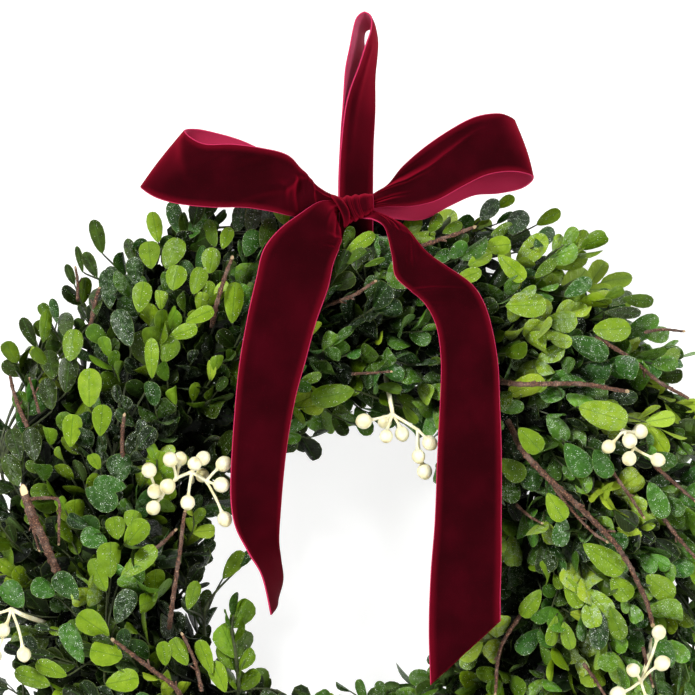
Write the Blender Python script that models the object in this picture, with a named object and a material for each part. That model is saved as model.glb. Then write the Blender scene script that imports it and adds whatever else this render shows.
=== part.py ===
"""A mistletoe wreath: boxwood bunches wired to a ring of vine strands, berry sprigs, twigs and a velvet bow.

Metres, +Z up, the front facing -Y. The origin is the hook point inside the top of the hanging loop.
Ribbon edges and twig routes are given in millimetres and turned to metres by mm().
"""

import math
import random

import bmesh
import bpy
from mathutils import Matrix, Vector
from mathutils.bvhtree import BVHTree

SEED = 24
MM = 0.001

# The ring that carries everything
WREATH_X = -0.0105
WREATH_Z = -0.320
RING_RADIUS = 0.130
RING_Y = 0.010
STRANDS = 3
STRAND_RADIUS = 0.004
STRAND_OFFSET = 0.0051
STRAND_TURNS = 3
STRAND_POINTS = 32

# The ties and the bunches they bind
STATIONS = 8
FIRST_STATION = 22.5
TIE_RADIUS = 0.0168
TIE_WIRE_RADIUS = 0.0007
TIE_POINTS = 10
STEM_SEAT = 0.0122
STEM_RADIUS = 0.0019
STEM_TIP_RADIUS = 0.0009
TAIL_DEGREES = 5.0
STEM_POINTS = 6
TIED_SHARE = 0.2
LEAN_POWER = 1.4
STEM_WANDER = (0.008, 0.006)
STEM_TRIES = 60

# Each row's seat round the ring's section (0 is outward, 90 is the front), then how far its stem travels
ROWS = {
    "inner": {"seat": 158, "outward": -0.026, "forward": 0.022, "sweep": 52},
    "front": {"seat": 90, "outward": 0.022, "forward": 0.040, "sweep": 50},
    "outer": {"seat": 22, "outward": 0.072, "forward": 0.016, "sweep": 40},
}
OUTER_LIMIT = 0.238
INNER_LIMIT = 0.080
FRONT_LIMIT = -0.061
BACK_LIMIT = 0.030

# Foliage
LEAF_LENGTHS = (0.022, 0.030)
LEAF_SHAPE = 0.56
LEAF_THICKNESS = 0.0011
LEAF_OUTLINE = ((0.0, 0.03), (0.60, 0.50), (0.97, 0.22), (0.97, -0.22), (0.60, -0.50), (0.0, -0.03))
LEAF_MIDDLE = 0.55
LEAF_TOP_SHARE = 0.8
LEAF_UNDER_SHARE = 0.6
LEAF_AHEAD = (0.4, 1.1)
LEAF_TILT = 0.4
LEAVES_PER_BUNCH = 12
LEAF_TRIES = 320
GUARD_LENGTH = 1.04
GUARD_THICKNESS = 2.6
STEM_SPOTS = 7
BRANCH_SPOTS = 4
BRANCHES = 2
BRANCH_STARTS = (2, 3, 3, 4)
BRANCH_TRIES = 20
BRANCH_OUTWARD = (0.3, 0.9)
BRANCH_FORWARD = (0.2, 0.9)
SECOND_BRANCH_TURN = -0.6
INNER_ROW_TURN = -0.4
BRANCH_RADIUS = 0.0010
BRANCH_TIP_SHARE = 0.7
BRANCH_LENGTH = 0.034
CLEARANCE = 0.0004

# Berries
BERRY_RADIUS = 0.0047
BERRY_STEM_RADIUS = 0.0009
SPRIG_FOOT_SHARE = 1.6
SPRIG_BEND_AT = 0.6
SPRIG_BEND = 0.006

# Twigs
TWIG_TIP_SHARE = 0.6

# Ribbons
RIBBON_THICKNESS = 0.0010
RIBBON_COLUMNS = 3
KNOT_CENTRE = Vector((-0.0076, -0.0495, -0.1128))
KNOT_SIZE = Vector((0.0200, 0.0170, 0.0150))
KNOT_BEVEL = 0.0045
KNOT_SEGMENTS = 3

# Each station of a ribbon: its first edge and its second edge, in millimetres
LEFT_LOOP = (
    ((-19.5, -50, -107.5), (-19.5, -50, -116.5)),
    ((-28.5, -57, -102), (-30.5, -55, -121)),
    ((-38.5, -62, -92), (-44.5, -61, -119)),
    ((-47.5, -66, -83), (-58.5, -65, -116)),
    ((-63.5, -69, -79), (-73.5, -67, -114)),
    ((-79.5, -70, -77), (-91.5, -68, -114)),
    ((-94.5, -68, -77), (-110.5, -66, -112)),
    ((-103.5, -63, -73), (-124.5, -62, -108)),
    ((-107.5, -55, -68), (-133.5, -55, -102)),
    ((-100.5, -48, -67), (-127.5, -48, -103)),
    ((-89.5, -43, -69), (-110.5, -43, -105)),
    ((-75.5, -41, -73), (-89.5, -41, -106)),
    ((-62.5, -40, -79), (-72.5, -40, -108)),
    ((-44.5, -41, -89), (-50.5, -41, -113)),
    ((-30.5, -43.5, -100), (-33.5, -43.5, -117)),
    ((-19.5, -47, -108.5), (-19.5, -47, -116)),
)
RIGHT_LOOP = (
    ((4.3, -50, -106), (4.3, -50, -114.5)),
    ((11.5, -57, -99), (12.5, -56, -113)),
    ((20.5, -62, -89), (25.5, -61, -113)),
    ((33.5, -67, -78), (39.5, -65, -110)),
    ((48.5, -70, -68), (54.5, -68, -102)),
    ((62.5, -70, -61), (69.5, -69, -95)),
    ((76.5, -66, -59), (85.5, -65, -93)),
    ((85.5, -57, -62), (96.5, -57, -96)),
    ((80.5, -49, -63), (90.5, -49, -102)),
    ((68.5, -44.5, -67), (76.5, -44.5, -105)),
    ((54.5, -41.5, -74), (62.5, -41, -106)),
    ((41.5, -40, -83), (48.5, -40, -112)),
    ((28.5, -40.5, -91), (32.5, -41, -120)),
    ((15.5, -43.5, -100), (16.5, -44, -120)),
    ((4.9, -47, -108), (4.9, -47, -116.5)),
)
LEFT_TAIL = (
    ((-20.8, -53.5, -109), (-19, -52.5, -122)),
    ((-29.5, -60, -110.5), (-16.1, -60, -128)),
    ((-39.5, -66, -117), (-16.5, -64, -136)),
    ((-52.5, -69, -127), (-20.5, -66, -147)),
    ((-61.5, -70, -139), (-23.5, -68, -161)),
    ((-65.5, -70, -155), (-30.5, -69, -181)),
    ((-70.5, -70, -177), (-36.5, -68, -203)),
    ((-75.5, -70, -206), (-42.5, -67, -225)),
    ((-78.5, -70, -238), (-47.5, -64, -253)),
    ((-80.5, -69, -273), (-50.5, -58, -282)),
    ((-78.5, -68, -298), (-52.5, -48, -306)),
    ((-70.5, -66, -315), (-51.5, -38, -320)),
    ((-62.5, -64, -329), (-50.5, -31, -333)),
    ((-57, -62, -352), (-53.5, -28, -345)),
)
RIGHT_TAIL = (
    ((3.1, -54, -119.5), (4.7, -51.5, -115)),
    ((6.5, -58, -122.5), (14, -56.5, -119.5)),
    ((10.5, -61, -128), (23.5, -60.2, -126)),
    ((13.5, -65, -142), (33.5, -64, -139)),
    ((15.5, -68, -154), (45.5, -67, -148)),
    ((23.5, -69, -162), (59.5, -69, -158)),
    ((32.5, -70, -170), (67.5, -71, -170)),
    ((39.5, -71, -184), (72.5, -72, -187)),
    ((42, -71, -204), (75.5, -72, -206)),
    ((41.5, -70, -227), (76.5, -71, -228)),
    ((40, -69, -256), (77.5, -70, -256)),
    ((38.5, -68, -296), (77.5, -69, -294)),
    ((36, -67, -329), (77.5, -68, -320)),
    ((35, -67, -361), (77, -68, -339)),
    ((36, -67, -392.5), (77, -68, -355)),
)
HANGING_LOOP = (
    ((-2.7, -9.5, 5.3), (0.8, 8, -4)),
    ((1.4, -9.5, 2.4), (4.3, 8, -4.6)),
    ((1.4, -10, -5.2), (5.5, 8, -11)),
    ((-1.5, -11, -14.5), (5.5, 7, -19)),
    ((-5.6, -13, -27), (4.9, 5, -31)),
    ((-10.9, -16, -41.5), (4.6, 0.5, -44)),
    ((-14.4, -20.5, -58), (4.1, -9, -59)),
    ((-16.7, -28, -80), (3.2, -22, -80)),
    ((-17.3, -37, -104), (2.9, -37, -104)),
    ((-17.3, -39, -116), (2.9, -39, -116)),
    ((-17.3, -34, -133), (2.9, -34, -133)),
    ((-17.3, -21, -149), (2.9, -21, -149)),
    ((-17.3, -7, -168), (2.9, -7, -168)),
    ((-17.3, -3, -183), (2.9, -3, -183)),
    ((-17.3, 0, -196), (2.9, 0, -196)),
    ((-17.3, 10, -203), (2.9, 10, -203)),
    ((-17.3, 20, -196), (2.9, 20, -196)),
    ((-17.3, 23, -181), (2.9, 23, -181)),
    ((-17.3, 21, -162), (2.9, 21, -162)),
    ((-17.3, 13, -145), (2.9, 13, -145)),
    ((-17.3, -11, -129.5), (2.9, -11, -129.5)),
    ((-17.6, -35, -116), (2.6, -35, -116)),
    ((-17.9, -34, -103.5), (2.3, -33, -103.5)),
    ((-17.3, -25.5, -80), (2.6, -16, -80)),
    ((-15.5, -18.5, -55), (1.4, -4, -56.5)),
    ((-13.8, -13, -31.5), (-0.9, 5, -35.5)),
    ((-11.4, -11, -17), (-1.5, 7, -20.5)),
    ((-9.1, -10, -4), (-2.1, 8, -10.5)),
    ((-6.8, -9.5, 2.4), (-1.5, 8, -5.8)),
)

# Brown twigs, each from the end that the foliage hides to its free end, in millimetres, with its radius
TWIGS = (
    (((-92.5, -40, -183), (-88.5, -62, -169), (-83.5, -64, -153), (-79.5, -65, -143)), 1.4),
    (((-177.5, -40, -342), (-188.5, -62, -312), (-197.5, -64, -292), (-201.5, -66, -281)), 2.3),
    (((-117.5, -42, -361), (-114.5, -62, -344), (-110.5, -65, -314), (-107.5, -65, -292)), 1.4),
    (((-105.5, -46, -411), (-112.5, -62, -395), (-127.5, -64, -383), (-149.5, -66, -366)), 1.5),
    (((18.5, -36, -143), (31.5, -60, -136), (47.5, -63, -130), (62.5, -64, -124)), 1.4),
    (((-31.5, -36, -173), (-13.5, -60, -167), (-6.5, -64, -164), (4.5, -65, -157)), 1.2),
    (((70.5, -38, -213), (86.5, -60, -217), (123.5, -63, -217), (150.5, -64, -221)), 1.6),
    (
        (
            (82.5, -38, -239),
            (94.5, -58, -261),
            (129.5, -63, -294),
            (148.5, -64, -315),
            (161.5, -64, -340),
            (166.5, -64, -357),
        ),
        1.8,
    ),
)

# Berry sprigs, in millimetres: where the stalks meet, the foot, further forks as (what it grows from, x, y, z),
# and the berries the same way, where -1 is the place where the stalks meet and 0 the first fork
BERRY_SPRIGS = (
    (
        (-103.5, -57, -268.7),
        (-104.5, -28, -275),
        ((-1, -94.9, -59, -273.7), (-1, -112.4, -58, -272.2), (1, -121.5, -52, -283.5)),
        (
            (2, -128.2, -63, -267.3),
            (1, -115.7, -64.5, -261),
            (1, -110.5, -55, -261),
            (1, -117.2, -66, -276.6),
            (-1, -101.5, -66, -263.4),
            (-1, -97, -57, -260.5),
            (0, -84.8, -62, -263.6),
            (0, -86, -64, -275.8),
            (0, -97.7, -50, -270.7),
            (-1, -105.4, -69, -286),
            (0, -84.1, -62, -295.9),
            (2, -125, -60, -279.8),
            (2, -126, -58, -289.4),
        ),
    ),
    (
        (-209.5, -55, -349),
        (-191.5, -30, -359),
        (),
        ((-1, -213.5, -62, -361), (-1, -201.5, -62, -375), (-1, -218.5, -62, -376), (-1, -223.5, -62, -353)),
    ),
    (
        (14.3, -50, -235.1),
        (10.5, -25, -213),
        ((-1, 28.9, -55, -243.9),),
        (
            (-1, -2.7, -58, -238.7),
            (-1, 9.7, -44, -239.5),
            (-1, 10.4, -60, -247.5),
            (-1, 19.7, -50, -246.4),
            (0, 35.9, -60, -251.4),
            (0, 29.2, -60, -259.3),
            (0, 32.8, -58, -268.2),
        ),
    ),
    (
        (149.1, -58, -244.6),
        (130.5, -30, -225),
        ((-1, 155.5, -57, -254.5),),
        (
            (-1, 140.1, -64, -253.5),
            (-1, 152.4, -64, -250),
            (0, 152.2, -64, -260.5),
            (0, 168.9, -65, -261.2),
            (-1, 159.4, -52, -245),
        ),
    ),
    (
        (159.5, -57, -391),
        (168.5, -30, -369),
        (),
        (
            (-1, 169.5, -64, -362),
            (-1, 171.5, -64, -380),
            (-1, 154.5, -64, -384),
            (-1, 145.5, -64, -398),
            (-1, 163.5, -64, -403),
        ),
    ),
    (
        (-93.5, -57, -475),
        (-73.5, -30, -467),
        (),
        (
            (-1, -105.5, -64, -467),
            (-1, -111.5, -64, -479),
            (-1, -100.5, -64, -489),
            (-1, -87.5, -64, -487),
            (-1, -119.5, -64, -469),
        ),
    ),
    (
        (68.5, -57, -483),
        (86.5, -30, -459),
        (),
        (
            (-1, 58.5, -64, -491),
            (-1, 70.5, -64, -497),
            (-1, 82.5, -64, -491),
            (-1, 56.5, -64, -477),
            (-1, 91.5, -64, -501),
        ),
    ),
)

# The boxwood sprig that stands into the opening, in millimetres
SPRIG_STEM = ((-89.5, -8, -422), (-77.5, -30, -401), (-78.5, -38, -377), (-80.5, -42, -361), (-79.5, -44, -353))


def mm(point):
    """A point in millimetres, as a vector in metres."""
    return Vector(point) * MM


def clear_scene():
    """Removes whatever the file opened with."""
    for item in list(bpy.data.objects):
        bpy.data.objects.remove(item, do_unlink=True)


def material(name, colour, roughness, metallic=0.0):
    """A Principled material of one plain colour."""
    made = bpy.data.materials.new(name)
    made.use_nodes = True
    shader = made.node_tree.nodes["Principled BSDF"]
    shader.inputs["Base Color"].default_value = (*colour, 1.0)
    shader.inputs["Roughness"].default_value = roughness
    shader.inputs["Metallic"].default_value = metallic
    return made


def node(name, mesh, finish, smooth=False):
    """An object for one sub-part."""
    made = bpy.data.objects.new(name, mesh)
    bpy.context.scene.collection.objects.link(made)
    mesh.name = name
    mesh.materials.clear()
    mesh.materials.append(finish)
    if smooth:
        mesh.shade_smooth()
    return made


def spline(points, per_span, closed=False):
    """Points along a Catmull-Rom curve through the given ones."""
    count = len(points)
    spans = count if closed else count - 1
    found = []
    for i in range(spans):
        if closed:
            a, b, c, d = (points[(i + k) % count] for k in (-1, 0, 1, 2))
        else:
            b, c = points[i], points[i + 1]
            a = points[i - 1] if i else 2 * b - c
            d = points[i + 2] if i + 2 < count else 2 * c - b
        for k in range(per_span):
            t = k / per_span
            square = 2 * a - 5 * b + 4 * c - d
            cube = 3 * b - a - 3 * c + d
            found.append(0.5 * (2 * b + (c - a) * t + square * t**2 + cube * t**3))
    if not closed:
        found.append(points[-1].copy())
    return found


def tube(points, radii, closed=False, resolution=0):
    """The mesh of a bevelled curve through the points, with one radius for each."""
    curve = bpy.data.curves.new("tube", "CURVE")
    curve.dimensions = "3D"
    curve.bevel_depth = 1.0
    curve.bevel_resolution = resolution
    curve.use_fill_caps = not closed
    line = curve.splines.new("POLY")
    line.points.add(len(points) - 1)
    for place, point, radius in zip(line.points, points, radii):
        place.co = (*point, 1.0)
        place.radius = radius
    line.use_cyclic_u = closed
    guide = bpy.data.objects.new("tube", curve)
    made = bpy.data.meshes.new_from_object(guide)
    bpy.data.objects.remove(guide)
    form = bmesh.new()
    form.from_mesh(made)
    bmesh.ops.remove_doubles(form, verts=form.verts, dist=1e-6)
    bmesh.ops.recalc_face_normals(form, faces=form.faces)
    form.to_mesh(made)
    form.free()
    return made


def joined(meshes):
    """One mesh that holds all of these."""
    form = bmesh.new()
    for mesh in meshes:
        form.from_mesh(mesh)
    made = bpy.data.meshes.new("joined")
    form.to_mesh(made)
    form.free()
    return made


def search_tree(mesh):
    """A tree that finds where another mesh crosses this one."""
    form = bmesh.new()
    form.from_mesh(mesh)
    made = BVHTree.FromBMesh(form)
    form.free()
    return made


class Space:
    """The solids placed so far, each with the name of the node that it belongs to."""

    def __init__(self):
        self.solids = []

    def add(self, owner, mesh):
        self.solids.append((owner, search_tree(mesh)))

    def free_for(self, owner, mesh):
        """True if the mesh crosses no other node's solid."""
        tree = search_tree(mesh)
        return not any(other != owner and solid.overlap(tree) for other, solid in self.solids)


def round_ring(degrees, radius, y):
    """A point at an angle clockwise from the top, at a radius from the wreath's centre."""
    angle = math.radians(degrees)
    return Vector((WREATH_X + radius * math.sin(angle), y, WREATH_Z + radius * math.cos(angle)))


def vine_strand(index):
    """One strand of the ring, wound round its centre line with the others."""
    points = []
    for k in range(STRAND_POINTS):
        turn = k / STRAND_POINTS
        twist = math.tau * (STRAND_TURNS * turn + index / STRANDS)
        points.append(
            round_ring(
                360 * turn,
                RING_RADIUS + STRAND_OFFSET * math.cos(twist),
                RING_Y - STRAND_OFFSET * math.sin(twist),
            )
        )
    return tube(points, [STRAND_RADIUS] * STRAND_POINTS, closed=True, resolution=1)


def tie_wire(degrees):
    """A closed turn of wire round the ring and the three stems seated on it."""
    points = []
    for k in range(TIE_POINTS):
        section = math.tau * k / TIE_POINTS
        radius = RING_RADIUS + TIE_RADIUS * math.cos(section)
        points.append(round_ring(degrees, radius, RING_Y - TIE_RADIUS * math.sin(section)))
    return tube(points, [TIE_WIRE_RADIUS] * TIE_POINTS, closed=True)


def ribbon(name, stations, finish, per_span=1, closed=False):
    """A strip between two edges, given thickness by a Solidify modifier."""
    first = spline([mm(a) for a, _ in stations], per_span, closed)
    second = spline([mm(b) for _, b in stations], per_span, closed)
    form = bmesh.new()
    rows = [
        [form.verts.new(a.lerp(b, k / (RIBBON_COLUMNS - 1))) for k in range(RIBBON_COLUMNS)]
        for a, b in zip(first, second)
    ]
    pairs = list(zip(rows, rows[1:]))
    if closed:
        pairs.append((rows[-1], rows[0]))
    for near, far in pairs:
        for k in range(RIBBON_COLUMNS - 1):
            form.faces.new((near[k], near[k + 1], far[k + 1], far[k]))
    made = bpy.data.meshes.new(name)
    form.to_mesh(made)
    form.free()
    strip = node(name, made, finish, smooth=True)
    solid = strip.modifiers.new("thickness", "SOLIDIFY")
    solid.thickness = RIBBON_THICKNESS
    solid.offset = 0.0
    return strip


def bow_knot(finish):
    """The gathered ribbon round the middle of the bow, a rounded block."""
    form = bmesh.new()
    place = Matrix.Translation(KNOT_CENTRE) @ Matrix.Diagonal((*KNOT_SIZE, 1.0))
    bmesh.ops.create_cube(form, size=1.0, matrix=place)
    made = bpy.data.meshes.new("bow_knot")
    form.to_mesh(made)
    form.free()
    knot = node("bow_knot", made, finish, smooth=True)
    bevel = knot.modifiers.new("round", "BEVEL")
    bevel.width = KNOT_BEVEL
    bevel.segments = KNOT_SEGMENTS
    return knot


def evaluated_mesh(item):
    """The object's mesh with its modifiers applied."""
    bpy.context.view_layer.update()
    graph = bpy.context.evaluated_depsgraph_get()
    return bpy.data.meshes.new_from_object(item.evaluated_get(graph))


def taper(count, start, end):
    """Radii that run evenly from the start to the end."""
    return [start + (end - start) * k / (count - 1) for k in range(count)]


def twig(route, radius):
    """A brown twig that thins towards its free end."""
    points = spline([mm(point) for point in route], 2)
    return tube(points, taper(len(points), radius * MM, TWIG_TIP_SHARE * radius * MM), resolution=1)


def berry(place):
    """One round berry."""
    form = bmesh.new()
    bmesh.ops.create_icosphere(form, subdivisions=1, radius=BERRY_RADIUS, matrix=Matrix.Translation(place))
    made = bpy.data.meshes.new("berry")
    form.to_mesh(made)
    form.free()
    return made


def berry_sprig(joint, foot, forks, berries):
    """The meshes of a sprig: its stem and stalks in one, its berries in another."""
    start = mm(foot)
    places = [mm(joint)]
    bend = start.lerp(places[0], SPRIG_BEND_AT) + Vector((0, -SPRIG_BEND, 0))
    stem = spline([start, bend, places[0]], 2)
    stalks = [tube(stem, taper(len(stem), SPRIG_FOOT_SHARE * BERRY_STEM_RADIUS, BERRY_STEM_RADIUS))]
    for parent, *place in forks:
        places.append(mm(place))
        stalks.append(tube([places[parent + 1], places[-1]], [BERRY_STEM_RADIUS] * 2))
    balls = []
    for parent, *place in berries:
        stalks.append(tube([places[parent + 1], mm(place)], [BERRY_STEM_RADIUS] * 2))
        balls.append(berry(mm(place)))
    return joined(stalks), joined(balls)


def united(name, base, addition, finish):
    """A node whose Boolean joins two meshes of overlapping shells into one body."""
    helper = bpy.data.objects.new(name + "_addition", addition)
    bpy.context.scene.collection.objects.link(helper)
    helper.hide_render = True
    helper.display_type = "WIRE"
    made = node(name, base, finish)
    union = made.modifiers.new("union", "BOOLEAN")
    union.operation = "UNION"
    union.solver = "EXACT"
    union.use_self = True
    union.object = helper
    return made


def leaf(root, along, face, length, thickness=LEAF_THICKNESS):
    """A six-cornered leaf blade with a thicker middle, from its root along a direction."""
    along = along.normalized()
    side = along.cross(face).normalized()
    up = side.cross(along).normalized()
    width = LEAF_SHAPE * length
    form = bmesh.new()
    rim = [form.verts.new(root + along * length * u + side * width * v) for u, v in LEAF_OUTLINE]
    middle = root + along * length * LEAF_MIDDLE
    top = form.verts.new(middle + up * thickness * LEAF_TOP_SHARE)
    under = form.verts.new(middle - up * thickness * LEAF_UNDER_SHARE)
    for a, b in zip(rim, rim[1:] + rim[:1]):
        form.faces.new((a, b, top))
        form.faces.new((b, a, under))
    bmesh.ops.recalc_face_normals(form, faces=form.faces)
    made = bpy.data.meshes.new("leaf")
    form.to_mesh(made)
    form.free()
    return made


def stem_route(row, degrees, wander):
    """A bunch's main stem: through its tie, then clockwise round the ring while it leans away from it."""
    seat = math.radians(row["seat"])
    points = []
    for k in range(STEM_POINTS):
        u = k / (STEM_POINTS - 1)
        lean = max(0.0, (u - TIED_SHARE) / (1 - TIED_SHARE)) ** LEAN_POWER
        radius = RING_RADIUS + STEM_SEAT * math.cos(seat) + (row["outward"] + wander[0] * u) * lean
        y = RING_Y - STEM_SEAT * math.sin(seat) - (row["forward"] + wander[1] * u) * lean
        points.append(round_ring(degrees - TAIL_DEGREES + row["sweep"] * u, radius, y))
    return points


def grow(seed_dir, outward, rng):
    """A branch's direction: the stem's, turned outward and a little at random."""
    forward = Vector((0, -rng.uniform(*BRANCH_FORWARD), 0))
    return (seed_dir + outward * rng.uniform(*BRANCH_OUTWARD) + forward).normalized()


def inside_limits(mesh):
    """True if the whole leaf stays in the ring-shaped room that the foliage fills."""
    for corner in mesh.vertices:
        radius = math.hypot(corner.co.x - WREATH_X, corner.co.z - WREATH_Z)
        if not INNER_LIMIT < radius < OUTER_LIMIT or not FRONT_LIMIT < corner.co.y < BACK_LIMIT:
            return False
    return True


def bunch_stems(row, degrees, owner, space, rng):
    """The main stem and two branches of a bunch, as centre lines, clear of what is already there."""
    for _ in range(STEM_TRIES):
        route = stem_route(row, degrees, [rng.uniform(-most, most) for most in STEM_WANDER])
        guard = tube(route, taper(len(route), STEM_RADIUS + CLEARANCE, STEM_TIP_RADIUS + CLEARANCE))
        if space.free_for(owner, guard):
            break
    else:
        raise RuntimeError(f"no room for the stem of {owner}")
    lines = [route]
    for start in BRANCH_STARTS:
        if len(lines) > BRANCHES:
            break
        ahead = (route[start + 1] - route[start - 1]).normalized()
        outward = (route[start] - Vector((WREATH_X, route[start].y, WREATH_Z))).normalized()
        if row["outward"] < 0:
            outward *= INNER_ROW_TURN
        if len(lines) == BRANCHES:
            outward *= SECOND_BRANCH_TURN
        for _ in range(BRANCH_TRIES):
            way = grow(ahead, outward, rng) * BRANCH_LENGTH
            side = [route[start] + way * share for share in (0.0, 0.5, 1.0)]
            guard = tube(side, [BRANCH_RADIUS + CLEARANCE] * 3)
            if space.free_for(owner, guard) and inside_limits(guard):
                lines.append(side)
                break
    return lines


def stem_mesh(lines):
    """The tubes of a bunch's stem and branches, still as separate shells."""
    tubes = [tube(lines[0], taper(len(lines[0]), STEM_RADIUS, STEM_TIP_RADIUS))]
    for line in lines[1:]:
        tubes.append(tube(line, taper(len(line), BRANCH_RADIUS, BRANCH_TIP_SHARE * BRANCH_RADIUS)))
    return joined(tubes)


def spots(line):
    """Places with their directions along a stem or branch, its outer part first."""
    found = []
    for a, b in zip(line, line[1:]):
        found += [(a.lerp(b, t), (b - a).normalized()) for t in (0.25, 0.75)]
    found.append((line[-1].lerp(line[-2], 0.03), (line[-1] - line[-2]).normalized()))
    return found[::-1]


def leaves_on(lines, owner, space, rng, wanted=LEAVES_PER_BUNCH, limited=True):
    """Leaves on the stem and its branches, each clear of every other node."""
    found = []
    places = [spots(line)[: BRANCH_SPOTS if i else STEM_SPOTS] for i, line in enumerate(lines)]
    places = [place for group in places for place in group]
    for attempt in range(LEAF_TRIES):
        if len(found) == wanted:
            break
        root, ahead = places[attempt % len(places)]
        turn = Matrix.Rotation(rng.uniform(0, math.tau), 3, ahead)
        out = turn @ ahead.orthogonal().normalized()
        along = (ahead * rng.uniform(*LEAF_AHEAD) + out).normalized()
        face = Vector((rng.uniform(-LEAF_TILT, LEAF_TILT), -1.0, rng.uniform(-LEAF_TILT, LEAF_TILT)))
        length = rng.uniform(*LEAF_LENGTHS)
        guard = leaf(root, along, face, length * GUARD_LENGTH, LEAF_THICKNESS * GUARD_THICKNESS)
        if limited and not inside_limits(guard):
            continue
        if space.free_for(owner, guard):
            blade = leaf(root, along, face, length)
            found.append(blade)
            space.add(owner, blade)
    return joined(found)


def build_ribbons(space):
    velvet = material("burgundy_velvet", (0.10, 0.003, 0.012), 0.85)
    strips = [
        ribbon("hanging_loop", HANGING_LOOP, velvet, closed=True),
        ribbon("bow_loop_left", LEFT_LOOP, velvet),
        ribbon("bow_loop_right", RIGHT_LOOP, velvet),
        ribbon("bow_tail_left", LEFT_TAIL, velvet),
        ribbon("bow_tail_right", RIGHT_TAIL, velvet),
        bow_knot(velvet),
    ]
    for strip in strips:
        space.add(strip.name, evaluated_mesh(strip))


def build_ring(space):
    vine = material("vine_bark", (0.12, 0.075, 0.045), 0.85)
    wire = material("florist_wire", (0.03, 0.06, 0.03), 0.45, 0.7)
    for i in range(STRANDS):
        mesh = vine_strand(i)
        space.add(node(f"vine_strand_{i + 1}", mesh, vine, smooth=True).name, mesh)
    for i in range(STATIONS):
        mesh = tie_wire(FIRST_STATION + i * 360 / STATIONS)
        space.add(node(f"tie_wire_{i + 1}", mesh, wire, smooth=True).name, mesh)


def build_twigs(space):
    bark = material("twig_bark", (0.13, 0.085, 0.06), 0.8)
    for i, (route, radius) in enumerate(TWIGS):
        mesh = twig(route, radius)
        space.add(node(f"twig_{i + 1}", mesh, bark, smooth=True).name, mesh)


def build_berries(space):
    cream = material("mistletoe_cream", (0.80, 0.76, 0.50), 0.4)
    for i, sprig in enumerate(BERRY_SPRIGS):
        name = f"berry_sprig_{i + 1}"
        stalks, balls = berry_sprig(*sprig)
        space.add(name, stalks)
        space.add(name, balls)
        united(name, stalks, balls, cream)


def build_foliage(space, rng):
    green = material("boxwood_leaf", (0.09, 0.17, 0.03), 0.5)
    bunches = []
    for row_name, row in ROWS.items():
        for i in range(STATIONS):
            owner = f"boxwood_{row_name}_{i + 1}"
            lines = bunch_stems(row, FIRST_STATION + i * 360 / STATIONS, owner, space, rng)
            space.add(owner, stem_mesh(lines))
            bunches.append((owner, lines))
    sprig = spline([mm(point) for point in SPRIG_STEM], 1)
    bunches.append(("boxwood_sprig", [sprig]))
    space.add("boxwood_sprig", stem_mesh([sprig]))
    for owner, lines in bunches:
        leaves = leaves_on(lines, owner, space, rng, limited=owner != "boxwood_sprig")
        united(owner, stem_mesh(lines), leaves, green)


def main():
    clear_scene()
    space = Space()
    build_ribbons(space)
    build_ring(space)
    build_twigs(space)
    build_berries(space)
    build_foliage(space, random.Random(SEED))


main()
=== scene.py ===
"""A boxwood and mistletoe wreath with a velvet bow: the looks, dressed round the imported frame.

Metres, +Z up, the front facing -Y. Routes and ribbon edges repeat the part's own points, in millimetres,
except that the bow's two loops run on into the knot. Every random draw comes from a seeded generator, so each
run gives the same wreath.
"""

import functools
import math

import bpy
import numpy as np
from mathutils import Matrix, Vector
from mathutils.bvhtree import BVHTree


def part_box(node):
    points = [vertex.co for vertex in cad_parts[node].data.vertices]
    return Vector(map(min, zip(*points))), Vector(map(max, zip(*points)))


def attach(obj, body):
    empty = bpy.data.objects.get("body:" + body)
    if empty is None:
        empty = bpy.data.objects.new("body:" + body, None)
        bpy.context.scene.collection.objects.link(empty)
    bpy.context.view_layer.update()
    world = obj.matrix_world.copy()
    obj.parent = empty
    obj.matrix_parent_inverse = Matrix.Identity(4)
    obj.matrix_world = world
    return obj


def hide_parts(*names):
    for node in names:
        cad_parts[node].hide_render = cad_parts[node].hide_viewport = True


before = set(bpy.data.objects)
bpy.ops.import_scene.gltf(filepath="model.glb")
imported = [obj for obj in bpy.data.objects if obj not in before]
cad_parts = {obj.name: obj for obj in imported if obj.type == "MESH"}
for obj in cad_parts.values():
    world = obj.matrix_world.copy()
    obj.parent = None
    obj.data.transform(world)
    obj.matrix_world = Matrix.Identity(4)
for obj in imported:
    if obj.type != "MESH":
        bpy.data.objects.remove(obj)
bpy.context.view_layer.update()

bl_info = {
    "name": "Mistletoe Wreath",
    "version": (1, 0, 0),
    "blender": (4, 5, 0),
    "location": "3D View > Sidebar > Wreath",
    "description": "Builds a velvet-bowed boxwood and mistletoe wreath round its packed frame",
    "category": "Object",
}

MM = 0.001
FORWARD = np.array((0.0, -1.0, 0.0))

# The ring that everything is bound to, and its strands, which twist round each other. Their bark is lumpy, so
# they are drawn a little slimmer than the part's.
CENTRE_X = -0.0105
CENTRE_Z = -0.320
RING_RADIUS = 0.130
RING_Y = 0.010
STRANDS = 3
STRAND_SLIMMER = 0.95
STRAND_OFFSET = 0.0051
STRAND_TURNS = 3
STRAND_POINTS = 300
STRAND_SIDES = 14

# The ties stand at stations round the ring, in degrees clockwise from the top
STATIONS = 8
FIRST_STATION = 22.5
TIE_RADIUS = 0.0168
TIE_TURNS = 4
TIE_POINTS = 160
TIE_DEGREES = 2.6

# A bunch's main stem sits on the ring, starts behind its tie, lies along the ring and then leans out
STEM_SEAT = 0.0122
TAIL_DEGREES = 5.0
TIED_SHARE = 0.2
LEAN_POWER = 1.4

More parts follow.
